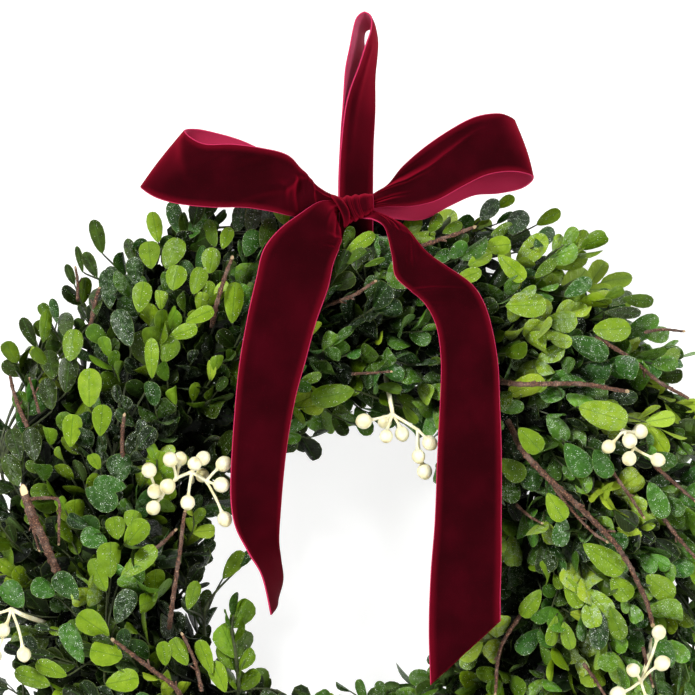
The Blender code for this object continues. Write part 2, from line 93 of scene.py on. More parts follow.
# Each row of bunches: where its stems sit round the ring's section, how far out, forward and round they go,
# the band of the section that they cover, and how much the shoots splay from the ring
ROWS = {
    "outer": {"seat": 22, "out": 0.072, "forward": 0.016, "sweep": 40, "band": (-80, 48), "splay": 0.72},
    "front": {"seat": 90, "out": 0.022, "forward": 0.040, "sweep": 50, "band": (48, 120), "splay": 0.55},
    "inner": {"seat": 158, "out": -0.026, "forward": 0.022, "sweep": 52, "band": (120, 250), "splay": 0.0},
}

# The foliage's section: an ellipse round the ring, flatter at the back
SECTION_RADIUS = 0.153
SECTION_Y = -0.010
SECTION_WIDE = 0.072
SECTION_FRONT = 0.045
SECTION_BACK = 0.026
# Near the bow the foliage stays lower: degrees from the top, and the furthest radius there. Main stems stay
# further in.
BOW_EDGE = ((-30, -18, -6, 6, 19, 23, 30), (0.24, 0.208, 0.202, 0.200, 0.203, 0.228, 0.24))
BOW_CLEARANCE = 0.022
# The opening is wider at one place: degrees from the top, half width in degrees, how much
WIDER_AT = (235, 25, 0.026)

# How far out in the section a bunch's shoots end, by turns, and from where one counts as outermost
LAYERS = (1.0, 0.94, 0.86, 1.0, 0.76)
DEEP_LAYERS = (0.84, 0.68, 0.54, 0.38)
OUTERMOST = 0.9
# Where the shoots end: degrees past the tie, and steps that scatter them evenly round a bunch and its band
FIRST_TIP = 8
SPREAD_STEP = 0.7548776662
BAND_STEP = 0.5698402910
SHOOT_POINTS = 10
# The pairs of leaves on a shoot, from its tip back: how large each is beside a full-grown one
PAIR_SIZES = (0.72, 0.90, 1.0, 1.0, 0.94, 0.88, 0.8)
TIP_GAP = 1.2 * MM
BARE_START = 4 * MM
# The share of leaves that are seen edge on, and how much depth counts in how close two leaves are
EDGE_ON_SHARE = 0.16
DEPTH_COUNTS = 0.6
# A leaf's stalk, and how deep the crease down its middle is
STALK_HALF_WIDTH = 0.00055
CREASE_DEPTH = 0.00022

# Leaves keep this far from other pieces and this far behind the bow; one that can't is moved back by steps
LEAF_CLEARANCE = 1.3 * MM
COVER_GAP = 9 * MM
BACK_STEP = 1.5 * MM
BACK_STEPS = 3
# The rays that look for the bow start behind everything, or reach through the foliage's depth
REAR_Y = 0.2
FOLIAGE_DEEP = 0.1

# A listed leaf belongs to the row of bunches whose radius it is at, and is this far round its bunch
OUTER_FROM = 0.185
FRONT_FROM = 0.115
STRAY_DEGREES = 22

# The stage: the wall behind the wreath, the floor below it, and a view that is square to the wall
WALL_Y = 0.046
FLOOR_Z = -0.80
VIEW_X = -0.0123
VIEW_Z = -0.1956
VIEW_PLANE_Y = -0.06
VIEW_DISTANCE = 2.15
VIEW_WIDTH = 0.4066
LIT_PLACE = (VIEW_X, 0.0, -0.25)

# Ribbon edges, station by station, in millimetres, with this many points from one station to the next
SPAN_POINTS = 10
LEFT_LOOP = (
    ((-16.5, -50, -108), (-16.5, -50, -116)),
    ((-28.5, -57, -102), (-30.5, -55, -121)),
    ((-38.5, -62, -92), (-44.5, -61, -119)),
    ((-47.5, -66, -83), (-58.5, -65, -116)),
    ((-63.5, -69, -79), (-73.5, -67, -114)),
    ((-79.5, -70, -77), (-91.5, -68, -114)),
    ((-94.5, -68, -77), (-110.5, -66, -112)),
    ((-103.5, -63, -73), (-124.5, -62, -108)),
    ((-107.5, -55, -68), (-133.5, -55, -102)),
    ((-100.5, -48, -67), (-127.5, -48, -103)),
    ((-89.5, -43, -69), (-110.5, -43, -105)),
    ((-75.5, -41, -73), (-89.5, -41, -106)),
    ((-62.5, -40, -79), (-72.5, -40, -108)),
    ((-44.5, -41, -89), (-50.5, -41, -113)),
    ((-30.5, -43.5, -100), (-33.5, -43.5, -117)),
    ((-16.5, -47, -109), (-16.5, -47, -116)),
)
RIGHT_LOOP = (
    ((0.5, -50, -107), (0.5, -50, -114)),
    ((11.5, -57, -99), (12.5, -56, -113)),
    ((20.5, -62, -89), (25.5, -61, -113)),
    ((33.5, -67, -78), (39.5, -65, -110)),
    ((48.5, -70, -68), (54.5, -68, -102)),
    ((62.5, -70, -61), (69.5, -69, -95)),
    ((76.5, -66, -59), (85.5, -65, -93)),
    ((85.5, -57, -62), (96.5, -57, -96)),
    ((80.5, -49, -63), (90.5, -49, -102)),
    ((68.5, -44.5, -67), (76.5, -44.5, -105)),
    ((54.5, -41.5, -74), (62.5, -41, -106)),
    ((41.5, -40, -83), (48.5, -40, -112)),
    ((28.5, -40.5, -91), (32.5, -41, -120)),
    ((15.5, -43.5, -100), (16.5, -44, -120)),
    ((0.5, -47, -108.5), (0.5, -47, -116.5)),
)
LEFT_TAIL = (
    ((-20.8, -53.5, -109), (-19, -52.5, -122)),
    ((-29.5, -60, -110.5), (-16.1, -60, -128)),
    ((-39.5, -66, -117), (-16.5, -64, -136)),
    ((-52.5, -69, -127), (-20.5, -66, -147)),
    ((-61.5, -70, -139), (-23.5, -68, -161)),
    ((-65.5, -70, -155), (-30.5, -69, -181)),
    ((-70.5, -70, -177), (-36.5, -68, -203)),
    ((-75.5, -70, -206), (-42.5, -67, -225)),
    ((-78.5, -70, -238), (-47.5, -64, -253)),
    ((-80.5, -69, -273), (-50.5, -58, -282)),
    ((-78.5, -68, -298), (-52.5, -48, -306)),
    ((-70.5, -66, -315), (-51.5, -38, -320)),
    ((-62.5, -64, -329), (-50.5, -31, -333)),
    ((-57, -62, -352), (-53.5, -28, -345)),
)
RIGHT_TAIL = (
    ((-3.8, -50, -119.8), (3.8, -50.5, -115.5)),
    ((3.0, -57, -121), (13.0, -56, -119.5)),
    ((9.5, -61, -126), (22.5, -60.5, -125.5)),
    ((13.5, -65, -142), (33.5, -64, -139)),
    ((15.5, -68, -154), (45.5, -67, -148)),
    ((23.5, -69, -162), (59.5, -69, -158)),
    ((32.5, -70, -170), (67.5, -71, -170)),
    ((39.5, -71, -184), (72.5, -72, -187)),
    ((42, -71, -204), (75.5, -72, -206)),
    ((41.5, -70, -227), (76.5, -71, -228)),
    ((40, -69, -256), (77.5, -70, -256)),
    ((38.5, -68, -296), (77.5, -69, -294)),
    ((36, -67, -329), (77.5, -68, -320)),
    ((35, -67, -361), (77, -68, -339)),
    ((36, -67, -392.5), (77, -68, -355)),
)
HANGING_LOOP = (
    ((-2.7, -9.5, 5.3), (0.8, 8, -4)),
    ((1.4, -9.5, 2.4), (4.3, 8, -4.6)),
    ((1.4, -10, -5.2), (5.5, 8, -11)),
    ((-1.5, -11, -14.5), (5.5, 7, -19)),
    ((-5.6, -13, -27), (4.9, 5, -31)),
    ((-10.9, -16, -41.5), (4.6, 0.5, -44)),
    ((-14.4, -20.5, -58), (4.1, -9, -59)),
    ((-16.7, -28, -80), (3.2, -22, -80)),
    ((-17.3, -37, -104), (2.9, -37, -104)),
    ((-17.3, -39, -116), (2.9, -39, -116)),
    ((-17.3, -34, -133), (2.9, -34, -133)),
    ((-17.3, -21, -149), (2.9, -21, -149)),
    ((-17.3, -7, -168), (2.9, -7, -168)),
    ((-17.3, -3, -183), (2.9, -3, -183)),
    ((-17.3, 0, -196), (2.9, 0, -196)),
    ((-17.3, 10, -203), (2.9, 10, -203)),
    ((-17.3, 20, -196), (2.9, 20, -196)),
    ((-17.3, 23, -181), (2.9, 23, -181)),
    ((-17.3, 21, -162), (2.9, 21, -162)),
    ((-17.3, 13, -145), (2.9, 13, -145)),
    ((-17.3, -11, -129.5), (2.9, -11, -129.5)),
    ((-17.6, -35, -116), (2.6, -35, -116)),
    ((-17.9, -34, -103.5), (2.3, -33, -103.5)),
    ((-17.3, -25.5, -80), (2.6, -16, -80)),
    ((-15.5, -18.5, -55), (1.4, -4, -56.5)),
    ((-13.8, -13, -31.5), (-0.9, 5, -35.5)),
    ((-11.4, -11, -17), (-1.5, 7, -20.5)),
    ((-9.1, -10, -4), (-2.1, 8, -10.5)),
    ((-6.8, -9.5, 2.4), (-1.5, 8, -5.8)),
)

# Folds in a ribbon, each along a line of (station, share across), with its half width and height in mm
LEFT_LOOP_FOLDS = (
    (((2.10, 0.20), (1.95, 0.55), (1.60, 1.0)), 2.6, -3.4),
    (((1.85, 0.0), (2.30, 0.28), (2.70, 0.55), (2.50, 0.80)), 2.6, 3.0),
    (((1.50, 0.0), (1.35, 0.4), (1.10, 0.9)), 1.6, 2.4),
    (((0.0, 0.25), (1.3, 0.15)), 1.6, 1.6),
    (((0.0, 0.7), (1.2, 0.75)), 1.6, 1.4),
    (((3.3, 0.20), (4.3, 0.42), (5.6, 0.72)), 6.0, -2.8),
    (((2.9, 0.55), (3.9, 0.75), (5.0, 0.95)), 4.5, 2.6),
    (((4.2, 0.05), (5.2, 0.25), (6.4, 0.55)), 5.5, 1.8),
    (((7.4, 0.1), (6.0, 0.5), (5.2, 0.95)), 4.0, 1.2),
)
RIGHT_LOOP_FOLDS = (
    (((0.6, 0.12), (1.0, 0.20), (2.0, 0.37), (3.0, 0.40), (4.0, 0.34), (5.2, 0.24)), 1.7, 2.6),
    (((0.8, 0.02), (1.9, 0.20), (2.9, 0.24), (3.9, 0.20), (5.0, 0.12)), 3.6, -2.6),
    (((0.0, 0.6), (1.2, 0.62), (2.2, 0.70)), 2.4, -2.4),
    (((0.4, 0.85), (1.5, 0.92), (2.6, 0.95)), 1.6, 1.2),
    (((3.6, 0.62), (5.0, 0.60), (6.4, 0.70)), 5.0, 0.9),
)
LEFT_TAIL_FOLDS = (
    (((0.0, 0.30), (1.0, 0.42), (1.9, 0.55)), 2.6, 1.4),
    (((0.0, 0.75), (1.2, 0.80), (1.9, 0.86)), 2.0, -1.8),
    (((2.05, 1.0), (2.30, 0.80), (2.60, 0.58)), 1.2, -1.7),
    (((1.70, 1.0), (1.95, 0.80), (2.20, 0.55)), 1.8, 1.3),
    (((3.2, 0.25), (5.0, 0.40), (8.0, 0.35)), 7.0, 0.9),
)
RIGHT_TAIL_FOLDS = (
    (((0.0, 0.45), (1.2, 0.35), (2.1, 0.25)), 1.6, 1.5),
    (((0.2, 0.75), (1.4, 0.65), (2.2, 0.55)), 1.6, -1.4),
    (((2.1, 0.42), (2.4, 0.88)), 1.2, 1.1),
    (((2.4, 0.88), (3.1, 0.58), (3.8, 0.44)), 1.2, 1.2),
    (((2.6, 0.70), (3.3, 0.40), (4.2, 0.30)), 2.2, -1.2),
    (((5.05, 0.0), (5.10, 0.35), (5.35, 0.80)), 1.8, 1.7),
    (((5.75, 0.0), (5.80, 0.40), (6.0, 0.80)), 3.0, -1.4),
    (((8.0, 0.5), (12.0, 0.45)), 9.0, 0.8),
)
HANGING_FOLDS = ((((3.0, 0.35), (8.0, 0.25)), 2.2, 0.5),)

# A selvedge, in millimetres: how far in it is rounded, its bead's place, half width and height, and the
# distance at which it no longer shows
SELVEDGE_ROUND = 0.75
SELVEDGE_BEAD = (0.65, 0.35, 0.12)
FAR_FROM_EDGE = 9.0

# The knot, in millimetres: its top and bottom edges as (x, z) at their left and right ends, how square its
# section is, its pleats as (place across from -1 to 1, width on the same scale, height), and the fold that
# rolls down its left side
KNOT_TOP = ((-20.5, -107.8), (2.8, -104.6))
KNOT_BOTTOM = ((-12.6, -123.4), (3.4, -116.0))
KNOT_ROUND = 0.72
KNOT_SIDES = 96
KNOT_ROWS = 81
KNOT_PLEATS = (
    (-0.82, 0.10, 0.9),
    (-0.60, 0.07, -0.9),
    (-0.40, 0.10, 1.1),
    (-0.18, 0.05, -0.8),
    (0.02, 0.09, 0.8),
    (0.22, 0.05, -0.8),
    (0.46, 0.12, 0.5),
    (0.70, 0.05, -0.4),
    (0.94, 0.05, 0.5),
)
KNOT_SWEEP = (
    (-21.5, -54, -106.5),
    (-18.5, -58.5, -109.0),
    (-15.6, -60.5, -112.5),
    (-13.4, -60.5, -117.0),
    (-12.8, -57, -121.5),
    (-13.8, -51, -124.5),
)

# Twigs, each from the end that the foliage hides to its free end, with its radius, all in millimetres
TWIGS = (
    (((-92.5, -40, -183), (-88.5, -62, -169), (-83.5, -64, -153), (-79.5, -65, -143)), 1.4),
    (((-177.5, -40, -342), (-188.5, -62, -312), (-197.5, -64, -292), (-201.5, -66, -281)), 2.15),
    (((-117.5, -42, -361), (-114.5, -62, -344), (-110.5, -65, -314), (-107.5, -65, -291)), 1.4),
    (((-105.5, -46, -411), (-112.5, -62, -395), (-127.5, -64, -383), (-149.5, -66, -366)), 1.5),
    (((18.5, -36, -143), (31.5, -60, -136), (47.5, -63, -130), (62.5, -64, -124)), 1.4),
    (((-31.5, -36, -173), (-13.5, -60, -167), (-6.5, -64, -164), (4.5, -65, -157)), 1.2),
    (((70.5, -38, -213), (86.5, -60, -217), (123.5, -63, -217), (150.5, -64, -221)), 1.6),
    (
        (
            (82.5, -38, -239),
            (94.5, -58, -261),
            (129.5, -63, -294),
            (148.5, -64, -315),
            (161.5, -64, -340),
            (166.5, -64, -357),
        ),
        1.8,
    ),
)

# Bud scars on a twig: how far apart they are, and how long the swelling at each is
SCAR_STEP = 7.0 * MM
SCAR_LONG = 0.8 * MM
# How the one thick branch, sawn off, differs from a twig
THICK_TWIG = {"slope": 1.9, "taper": -0.15, "cut": 1.0, "pith": 0.80}

# Finer twigs, as (x, z) or (x, y, z), from the end that the foliage hides, with the radius; in millimetres
FINE_TWIGS = (
    (((-164.1, -185.4), (-161.8, -172.5), (-158.9, -159.6)), 1.3),
    (((-172.9, -167.8), (-173.5, -157.9), (-174.7, -147.9)), 1.0),
    (((-201.0, -242.7), (-207.4, -229.2), (-213.9, -212.9)), 1.3),
    (((-194.0, -234.5), (-196.9, -223.4), (-200.4, -212.9)), 0.9),
    (((-144.2, -260.2), (-144.2, -247.4), (-143.1, -234.5)), 1.2),
    (((-127.9, -315.8), (-120.8, -310.6), (-113.2, -303.5)), 1.2),
    (((-98.0, -397.7), (-102.1, -379.6), (-109.1, -363.8)), 1.2),
    (((-9.7, -211.1), (2.0, -210.5), (13.7, -209.9)), 0.9),
    (((164.6, -186.5), (176.3, -184.8), (188.0, -185.4)), 1.0),
    (((133.0, -189.5), (140.7, -193.6), (155.3, -202.9), (170.5, -215.8), (189.2, -225.7)), 1.3),
    (((107.9, -275.5), (114.9, -286.0), (129.5, -302.4), (139.0, -309.0)), 1.1),
    (((141.2, -266.1), (151.8, -281.3), (160.5, -295.3)), 1.1),
    (((172.8, -295.3), (182.2, -308.2), (192.1, -319.9)), 1.2),
    (((168.1, -264.9), (181.0, -276.6), (192.1, -286.0)), 1.2),
    (((87.4, -288.3), (94.4, -294.8), (102.0, -298.9)), 0.9),
    (((89.8, -352.7), (77.5, -373.2), (74.5, -398.3)), 1.2),
    (((161.1, -371.4), (163.5, -383.1), (166.4, -393.6)), 1.1),
    (((126.0, -380.8), (131.9, -388.9), (138.3, -399.5)), 1.1),
    (
        (
            (-200.5, -65.5, -284.5),
            (-190.0, -66, -283.4),
            (-181.2, -65, -284.9),
            (-181.0, -62, -297.0),
            (-181.2, -60, -310.3),
        ),
        1.0,
    ),
    (((-201.5, -291.0), (-198.0, -298.5), (-192.0, -314.5)), 0.9),
)

# Berry sprigs, in millimetres: where the stalks meet, the foot, the further forks, and the berries. A fork or
# berry is (what it grows from, x, y, z), where -1 is the place where the stalks meet and 0 the first fork.
BERRY_SPRIGS = (
    (
        (-103.5, -57, -268.7),
        (-104.5, -28, -275),
        ((-1, -94.9, -59, -273.7), (-1, -112.4, -58, -272.2), (1, -121.5, -52, -283.5)),
        (
            (2, -128.2, -63, -267.3),
            (1, -115.7, -64.5, -261),
            (1, -110.5, -55, -261),
            (1, -117.2, -66, -276.6),
            (-1, -101.5, -66, -263.4),
            (-1, -97, -57, -260.5),
            (0, -84.8, -62, -263.6),
            (0, -86, -64, -275.8),
            (0, -97.7, -50, -270.7),
            (-1, -105.4, -69, -286),
            (0, -84.1, -62, -295.9),
            (2, -125, -60, -279.8),
            (2, -126, -58, -289.4),
        ),
    ),
    (
        (-209.5, -55, -349),
        (-191.5, -30, -359),
        (),
        ((-1, -213.5, -62, -361), (-1, -201.5, -62, -375), (-1, -218.5, -62, -376), (-1, -223.5, -62, -353)),
    ),
    (
        (14.3, -50, -235.1),
        (10.5, -25, -213),
        ((-1, 28.9, -55, -243.9),),
        (
            (-1, -2.7, -58, -238.7),
            (-1, 9.7, -44, -239.5),
            (-1, 10.4, -60, -247.5),
            (-1, 19.7, -50, -246.4),
            (0, 35.9, -60, -251.4),
            (0, 29.2, -60, -259.3),
            (0, 32.8, -58, -268.2),
        ),
    ),
    (
        (149.1, -58, -244.6),
        (130.5, -30, -225),
        ((-1, 155.5, -57, -254.5),),
        (
            (-1, 140.1, -64, -253.5),
            (-1, 152.4, -64, -250),
            (0, 152.2, -64, -260.5),
            (0, 168.9, -65, -261.2),
            (-1, 159.4, -52, -245),
        ),
    ),
    (
        (159.5, -57, -391),
        (168.5, -30, -369),
        (),
        (
            (-1, 169.5, -64, -362),
            (-1, 171.5, -64, -380),
            (-1, 154.5, -64, -384),
            (-1, 145.5, -64, -398),
            (-1, 163.5, -64, -403),
        ),
    ),
    (
        (-93.5, -57, -475),
        (-73.5, -30, -467),
        (),
        (
            (-1, -105.5, -64, -467),
            (-1, -111.5, -64, -479),
            (-1, -100.5, -64, -489),
            (-1, -87.5, -64, -487),
            (-1, -119.5, -64, -469),
        ),
    ),
    (
        (68.5, -57, -483),
        (86.5, -30, -459),
        (),
        (
            (-1, 58.5, -64, -491),
            (-1, 70.5, -64, -497),
            (-1, 82.5, -64, -491),
            (-1, 56.5, -64, -477),
            (-1, 91.5, -64, -501),
        ),
    ),
)

# Leaves placed one by one: root (x, z), tip (x, z), width, shade, glitter, and how far forward the tip is,
# with lengths in millimetres
STRAY_LEAVES = (
    ((-48.9, -123.4), (-52.4, -106.4), 12.0, 0.84, 0.15, 21.0),
    ((-70.0, -128.0), (-66.0, -108.0), 10.5, 0.28, 0.50, 1.0),
    ((-60.0, -127.0), (-58.0, -107.0), 11.0, 0.24, 0.50, 0.0),
    ((-50.0, -129.0), (-46.0, -111.0), 11.0, 0.22, 0.40, 0.0),
    ((-78.0, -127.0), (-74.0, -110.0), 10.0, 0.34, 0.60, 2.0),
    ((-63.0, -136.0), (-56.0, -119.0), 10.0, 0.36, 0.30, 3.0),
    ((-44.0, -136.0), (-40.0, -121.0), 10.0, 0.26, 0.30, 1.0),
    ((-72.0, -142.0), (-66.0, -126.0), 11.0, 0.50, 0.60, 4.0),
    ((-13.8, -138.0), (-9.1, -123.9), 7.0, 0.55, 0.40, 2.0),
    ((-13.2, -139.7), (3.8, -128.6), 8.5, 0.86, 0.20, 4.0),
    ((-13.8, -146.0), (-1.0, -138.6), 8.0, 0.50, 0.20, 3.0),
    ((-19.0, -109.3), (-22.0, -95.9), 8.0, 0.28, 0.40, 0.0),
    ((4.9, -112.0), (3.8, -99.4), 7.0, 0.30, 0.40, 0.0),
    ((-158.9, -139.2), (-164.1, -119.3), 9.5, 0.40, 0.12, 8.0),
    ((-170.6, -150.3), (-174.1, -135.1), 4.5, 0.34, 0.12, 6.0),
    ((-161.8, -153.8), (-169.4, -138.6), 8.0, 0.34, 0.12, 6.0),
    ((-139.0, -146.2), (-144.2, -129.2), 7.0, 0.34, 0.20, 8.0),
    ((-124.4, -133.3), (-128.5, -114.0), 9.5, 0.88, 0.15, 12.0),
    ((-111.5, -128.6), (-117.3, -109.3), 10.0, 0.40, 0.70, 9.0),
    ((-105.0, -131.0), (-98.6, -114.6), 10.0, 0.60, 0.75, 10.0),
    ((-89.8, -136.2), (-96.3, -120.4), 9.0, 0.56, 0.20, 8.0),
    ((-85.7, -137.4), (-81.6, -124.5), 8.0, 0.72, 0.20, 5.0),
    ((-178.0, -222.0), (-176.0, -200.0), 12.0, 0.30, 0.50, 2.0),
    ((-186.0, -214.0), (-190.0, -196.0), 11.0, 0.36, 0.30, 2.0),
    ((-170.0, -200.0), (-168.0, -182.0), 11.0, 0.28, 0.60, 3.0),
    ((-178.0, -190.0), (-182.0, -172.0), 10.0, 0.40, 0.40, 3.0),
    ((-205.0, -262.0), (-212.0, -243.0), 11.0, 0.32, 0.40, 2.0),
    ((-196.0, -262.0), (-200.0, -242.0), 12.0, 0.28, 0.50, 3.0),
    ((-206.0, -277.0), (-214.0, -259.0), 11.0, 0.38, 0.30, 2.0),
    ((-160.0, -176.0), (-163.0, -158.0), 10.0, 0.32, 0.50, 3.0),
    ((-150.0, -164.0), (-154.0, -146.0), 10.0, 0.34, 0.70, 3.0),
    ((-186.0, -232.0), (-192.0, -213.0), 11.0, 0.30, 0.50, 2.0),
    ((-198.6, -195.3), (-206.8, -177.8), 8.0, 0.30, 0.20, 6.0),
    ((-185.2, -180.7), (-188.7, -166.0), 6.0, 0.40, 0.60, 6.0),
    ((-193.4, -192.4), (-190.5, -172.5), 8.0, 0.64, 0.15, 8.0),
    ((-163.5, -230.4), (-164.1, -207.6), 14.5, 0.92, 0.10, 7.0),
    ((-175.8, -203.5), (-173.5, -184.2), 12.5, 0.78, 0.45, 8.0),
    ((-174.7, -253.8), (-172.9, -234.5), 12.0, 0.88, 0.10, 8.0),
    ((-157.1, -247.4), (-155.4, -228.7), 12.0, 0.80, 0.10, 7.0),
    ((-134.9, -174.8), (-132.0, -156.7), 12.0, 0.80, 0.15, 6.0),
    ((-127.9, -149.1), (-130.8, -131.6), 13.0, 0.80, 0.15, 8.0),
    ((-119.1, -149.1), (-112.1, -130.4), 14.0, 0.74, 0.55, 9.0),
    ((-115.0, -162.0), (-112.0, -146.8), 13.0, 0.82, 0.15, 7.0),
    ((-102.7, -164.3), (-98.6, -148.0), 11.0, 0.78, 0.15, 7.0),
    ((-93.3, -152.0), (-91.0, -136.8), 11.5, 0.82, 0.50, 8.0),
    ((-79.9, -181.3), (-77.6, -157.3), 12.0, 0.84, 0.15, 7.0),
    ((-139.6, -194.7), (-148.3, -172.5), 13.0, 0.30, 0.95, 6.0),
    ((-152.4, -172.5), (-154.8, -149.1), 12.0, 0.34, 1.00, 6.0),
    ((-106.8, -180.7), (-90.4, -173.1), 9.0, 0.88, 0.20, 6.0),
    ((-116.7, -189.5), (-100.4, -183.6), 9.5, 0.88, 0.35, 6.0),
    ((-126.7, -213.5), (-127.9, -190.0), 9.5, 0.88, 0.35, 6.0),
    ((-120.3, -204.1), (-113.8, -189.5), 12.0, 0.68, 0.20, 4.0),
    ((-9.7, -145.6), (2.0, -138.6), 8.0, 0.15, 0.20, 2.0),
    ((2.0, -145.6), (-0.3, -128.0), 8.0, 0.12, 0.20, 1.0),
    ((-7.4, -150.0), (-6.2, -136.0), 8.0, 0.20, 0.20, 2.0),
    ((-2.1, -147.9), (9.6, -143.3), 4.0, 0.55, 0.10, 4.0),
    ((66.3, -120.1), (77.5, -107.3), 10.0, 0.30, 0.90, 10.0),
    ((76.7, -112.1), (86.8, -105.8), 7.0, 0.86, 0.20, 12.0),
    ((36.2, -127.9), (41.4, -117.3), 9.0, 0.60, 0.30, 2.0),
    ((43.8, -128.2), (55.4, -122.1), 7.0, 0.60, 0.30, 3.0),
    ((48.0, -142.6), (58.3, -133.8), 9.0, 0.62, 0.60, 4.0),
    ((37.4, -146.6), (48.3, -138.6), 8.0, 0.55, 0.80, 4.0),
    ((68.9, -136.2), (84.3, -134.9), 12.0, 0.92, 0.20, 7.0),
    ((58.6, -147.4), (72.7, -139.7), 9.0, 0.90, 0.30, 6.0),
    ((76.2, -141.3), (91.6, -155.8), 11.0, 0.93, 0.15, 8.0),
    ((72.4, -129.4), (86.8, -123.1), 7.0, 0.70, 0.80, 5.0),
    ((50.3, -157.1), (66.3, -150.6), 9.0, 0.88, 0.20, 5.0),
    ((-8.5, -221.0), (-34.3, -226.0), 14.0, 0.64, 0.35, 5.0),
    ((84.5, -128.6), (92.7, -114.0), 13.0, 0.32, 0.85, 9.0),
    ((100.9, -122.2), (114.3, -114.0), 8.5, 0.84, 0.35, 9.0),
    ((98.0, -136.2), (112.0, -123.9), 10.0, 0.42, 0.60, 8.0),
    ((98.0, -154.4), (110.8, -143.3), 7.5, 0.62, 0.50, 6.0),
    ((115.5, -165.5), (132.5, -154.4), 10.0, 0.58, 1.00, 6.0),
    ((142.4, -170.7), (158.8, -162.0), 7.5, 0.38, 0.40, 6.0),
    ((139.5, -174.8), (161.7, -174.8), 8.0, 0.34, 0.40, 7.0),
    ((151.2, -166.6), (171.1, -169.0), 9.0, 0.55, 0.20, 6.0),
    ((171.7, -206.4), (186.9, -197.1), 9.0, 0.74, 0.45, 6.0),
    ((80.4, -171.3), (105.0, -170.3), 15.0, 0.90, 0.50, 5.0),
    ((131.9, -185.4), (154.7, -184.2), 15.0, 0.88, 0.40, 8.0),
    ((123.1, -230.4), (151.8, -239.2), 17.0, 0.95, 0.55, 10.0),
    ((117.8, -190.0), (140.7, -201.8), 14.0, 0.48, 0.85, 6.0),
    ((-151.1, -330.2), (-150.8, -309.0), 15.0, 0.80, 0.30, 7.0),
    ((-144.9, -330.2), (-124.3, -312.3), 13.0, 0.84, 0.40, 7.0),
    ((-153.8, -338.2), (-162.8, -319.4), 11.0, 0.78, 0.30, 5.0),
    ((-146.7, -307.8), (-149.3, -294.3), 12.0, 0.78, 0.30, 5.0),
    ((-142.2, -311.4), (-130.0, -297.0), 13.0, 0.82, 0.20, 6.0),
    ((-139.5, -301.5), (-136.8, -290.8), 11.0, 0.80, 0.30, 4.0),
    ((-153.0, -310.5), (-168.0, -303.3), 13.0, 0.60, 0.90, 5.0),
    ((-152.0, -364.2), (-170.0, -351.7), 15.0, 0.88, 0.10, 8.0),
    ((-144.0, -376.7), (-162.8, -372.2), 16.0, 0.90, 0.10, 8.0),
    ((-153.8, -392.8), (-134.7, -388.4), 14.0, 0.90, 0.10, 8.0),
    ((-110.0, -362.4), (-124.3, -357.9), 13.0, 0.86, 0.15, 7.0),
    ((-173.5, -326.6), (-183.4, -308.7), 15.0, 0.32, 1.00, 5.0),
    ((-185.0, -326.6), (-196.8, -314.0), 12.0, 0.30, 1.00, 4.0),
    ((-142.2, -277.3), (-161.0, -274.6), 11.0, 0.52, 0.90, 6.0),
    ((-144.0, -273.7), (-148.0, -258.0), 16.0, 0.36, 0.90, 4.0),
    ((-165.5, -278.2), (-147.6, -289.0), 15.0, 0.44, 0.90, 5.0),
    ((-184.3, -340.9), (-196.8, -332.0), 13.0, 0.58, 0.60, 5.0),
    ((-170.0, -342.7), (-184.3, -328.4), 14.0, 0.42, 0.80, 5.0),
    ((-147.6, -357.0), (-138.6, -337.3), 13.0, 0.30, 1.00, 3.0),
    ((-167.3, -380.3), (-178.9, -357.0), 12.0, 0.62, 0.90, 5.0),
    ((-177.0, -388.0), (-196.0, -381.0), 10.0, 0.80, 0.20, 6.0),
    ((-187.0, -393.7), (-209.0, -387.5), 13.0, 0.76, 0.30, 6.0),
    ((-203.0, -348.0), (-215.6, -333.7), 14.0, 0.60, 0.60, 5.0),
    ((-106.4, -349.9), (-101.0, -333.7), 9.0, 0.72, 0.30, 3.0),
    ((-92.0, -387.5), (-100.1, -367.8), 10.0, 0.86, 0.20, 5.0),
    ((-84.0, -398.2), (-92.0, -380.3), 11.0, 0.86, 0.20, 5.0),
    ((-106.4, -382.0), (-115.3, -366.0), 11.0, 0.82, 0.20, 6.0),
    ((-118.9, -382.0), (-120.7, -367.8), 9.0, 0.80, 0.20, 6.0),
    ((-86.7, -333.7), (-74.1, -317.6), 10.0, 0.74, 0.30, 2.0),
    ((-75.9, -326.6), (-69.7, -316.7), 6.0, 0.32, 0.60, 1.0),
    ((125.8, -310.8), (149.6, -326.7), 15.0, 0.82, 0.50, 8.0),
    ((142.5, -330.2), (153.1, -343.4), 13.0, 0.84, 0.40, 5.0),
    ((162.8, -329.3), (179.5, -342.5), 14.0, 0.84, 0.40, 7.0),
    ((116.1, -331.0), (124.0, -347.8), 11.0, 0.82, 0.30, 6.0),
    ((104.7, -280.9), (114.4, -296.7), 12.0, 0.90, 0.30, 7.0),
    ((164.6, -274.7), (174.2, -295.9), 12.0, 0.66, 0.80, 6.0),
    ((115.2, -251.8), (128.5, -270.3), 15.0, 0.56, 0.70, 7.0),
    ((132.0, -255.4), (141.7, -271.2), 12.0, 0.52, 0.60, 5.0),
    ((77.4, -261.5), (91.5, -273.0), 13.0, 0.62, 0.40, 4.0),
    ((88.0, -243.0), (101.2, -256.2), 13.0, 0.78, 0.30, 6.0),
    ((114.4, -295.0), (111.7, -312.6), 11.0, 0.50, 1.00, 5.0),
    ((101.2, -338.0), (89.7, -354.0), 11.0, 0.76, 0.30, 6.0),
    ((135.5, -349.6), (134.6, -372.5), 12.0, 0.34, 1.00, 6.0),
    ((141.7, -347.8), (148.7, -366.3), 11.0, 0.68, 0.40, 6.0),
    ((168.0, -363.7), (177.8, -383.0), 12.0, 0.62, 0.70, 6.0),
    ((114.4, -356.6), (118.8, -372.5), 9.0, 0.80, 0.20, 5.0),
    ((110.0, -353.0), (106.4, -370.7), 8.0, 0.78, 0.20, 5.0),
    ((144.3, -291.5), (157.5, -301.0), 13.0, 0.16, 0.10, 4.0),
)

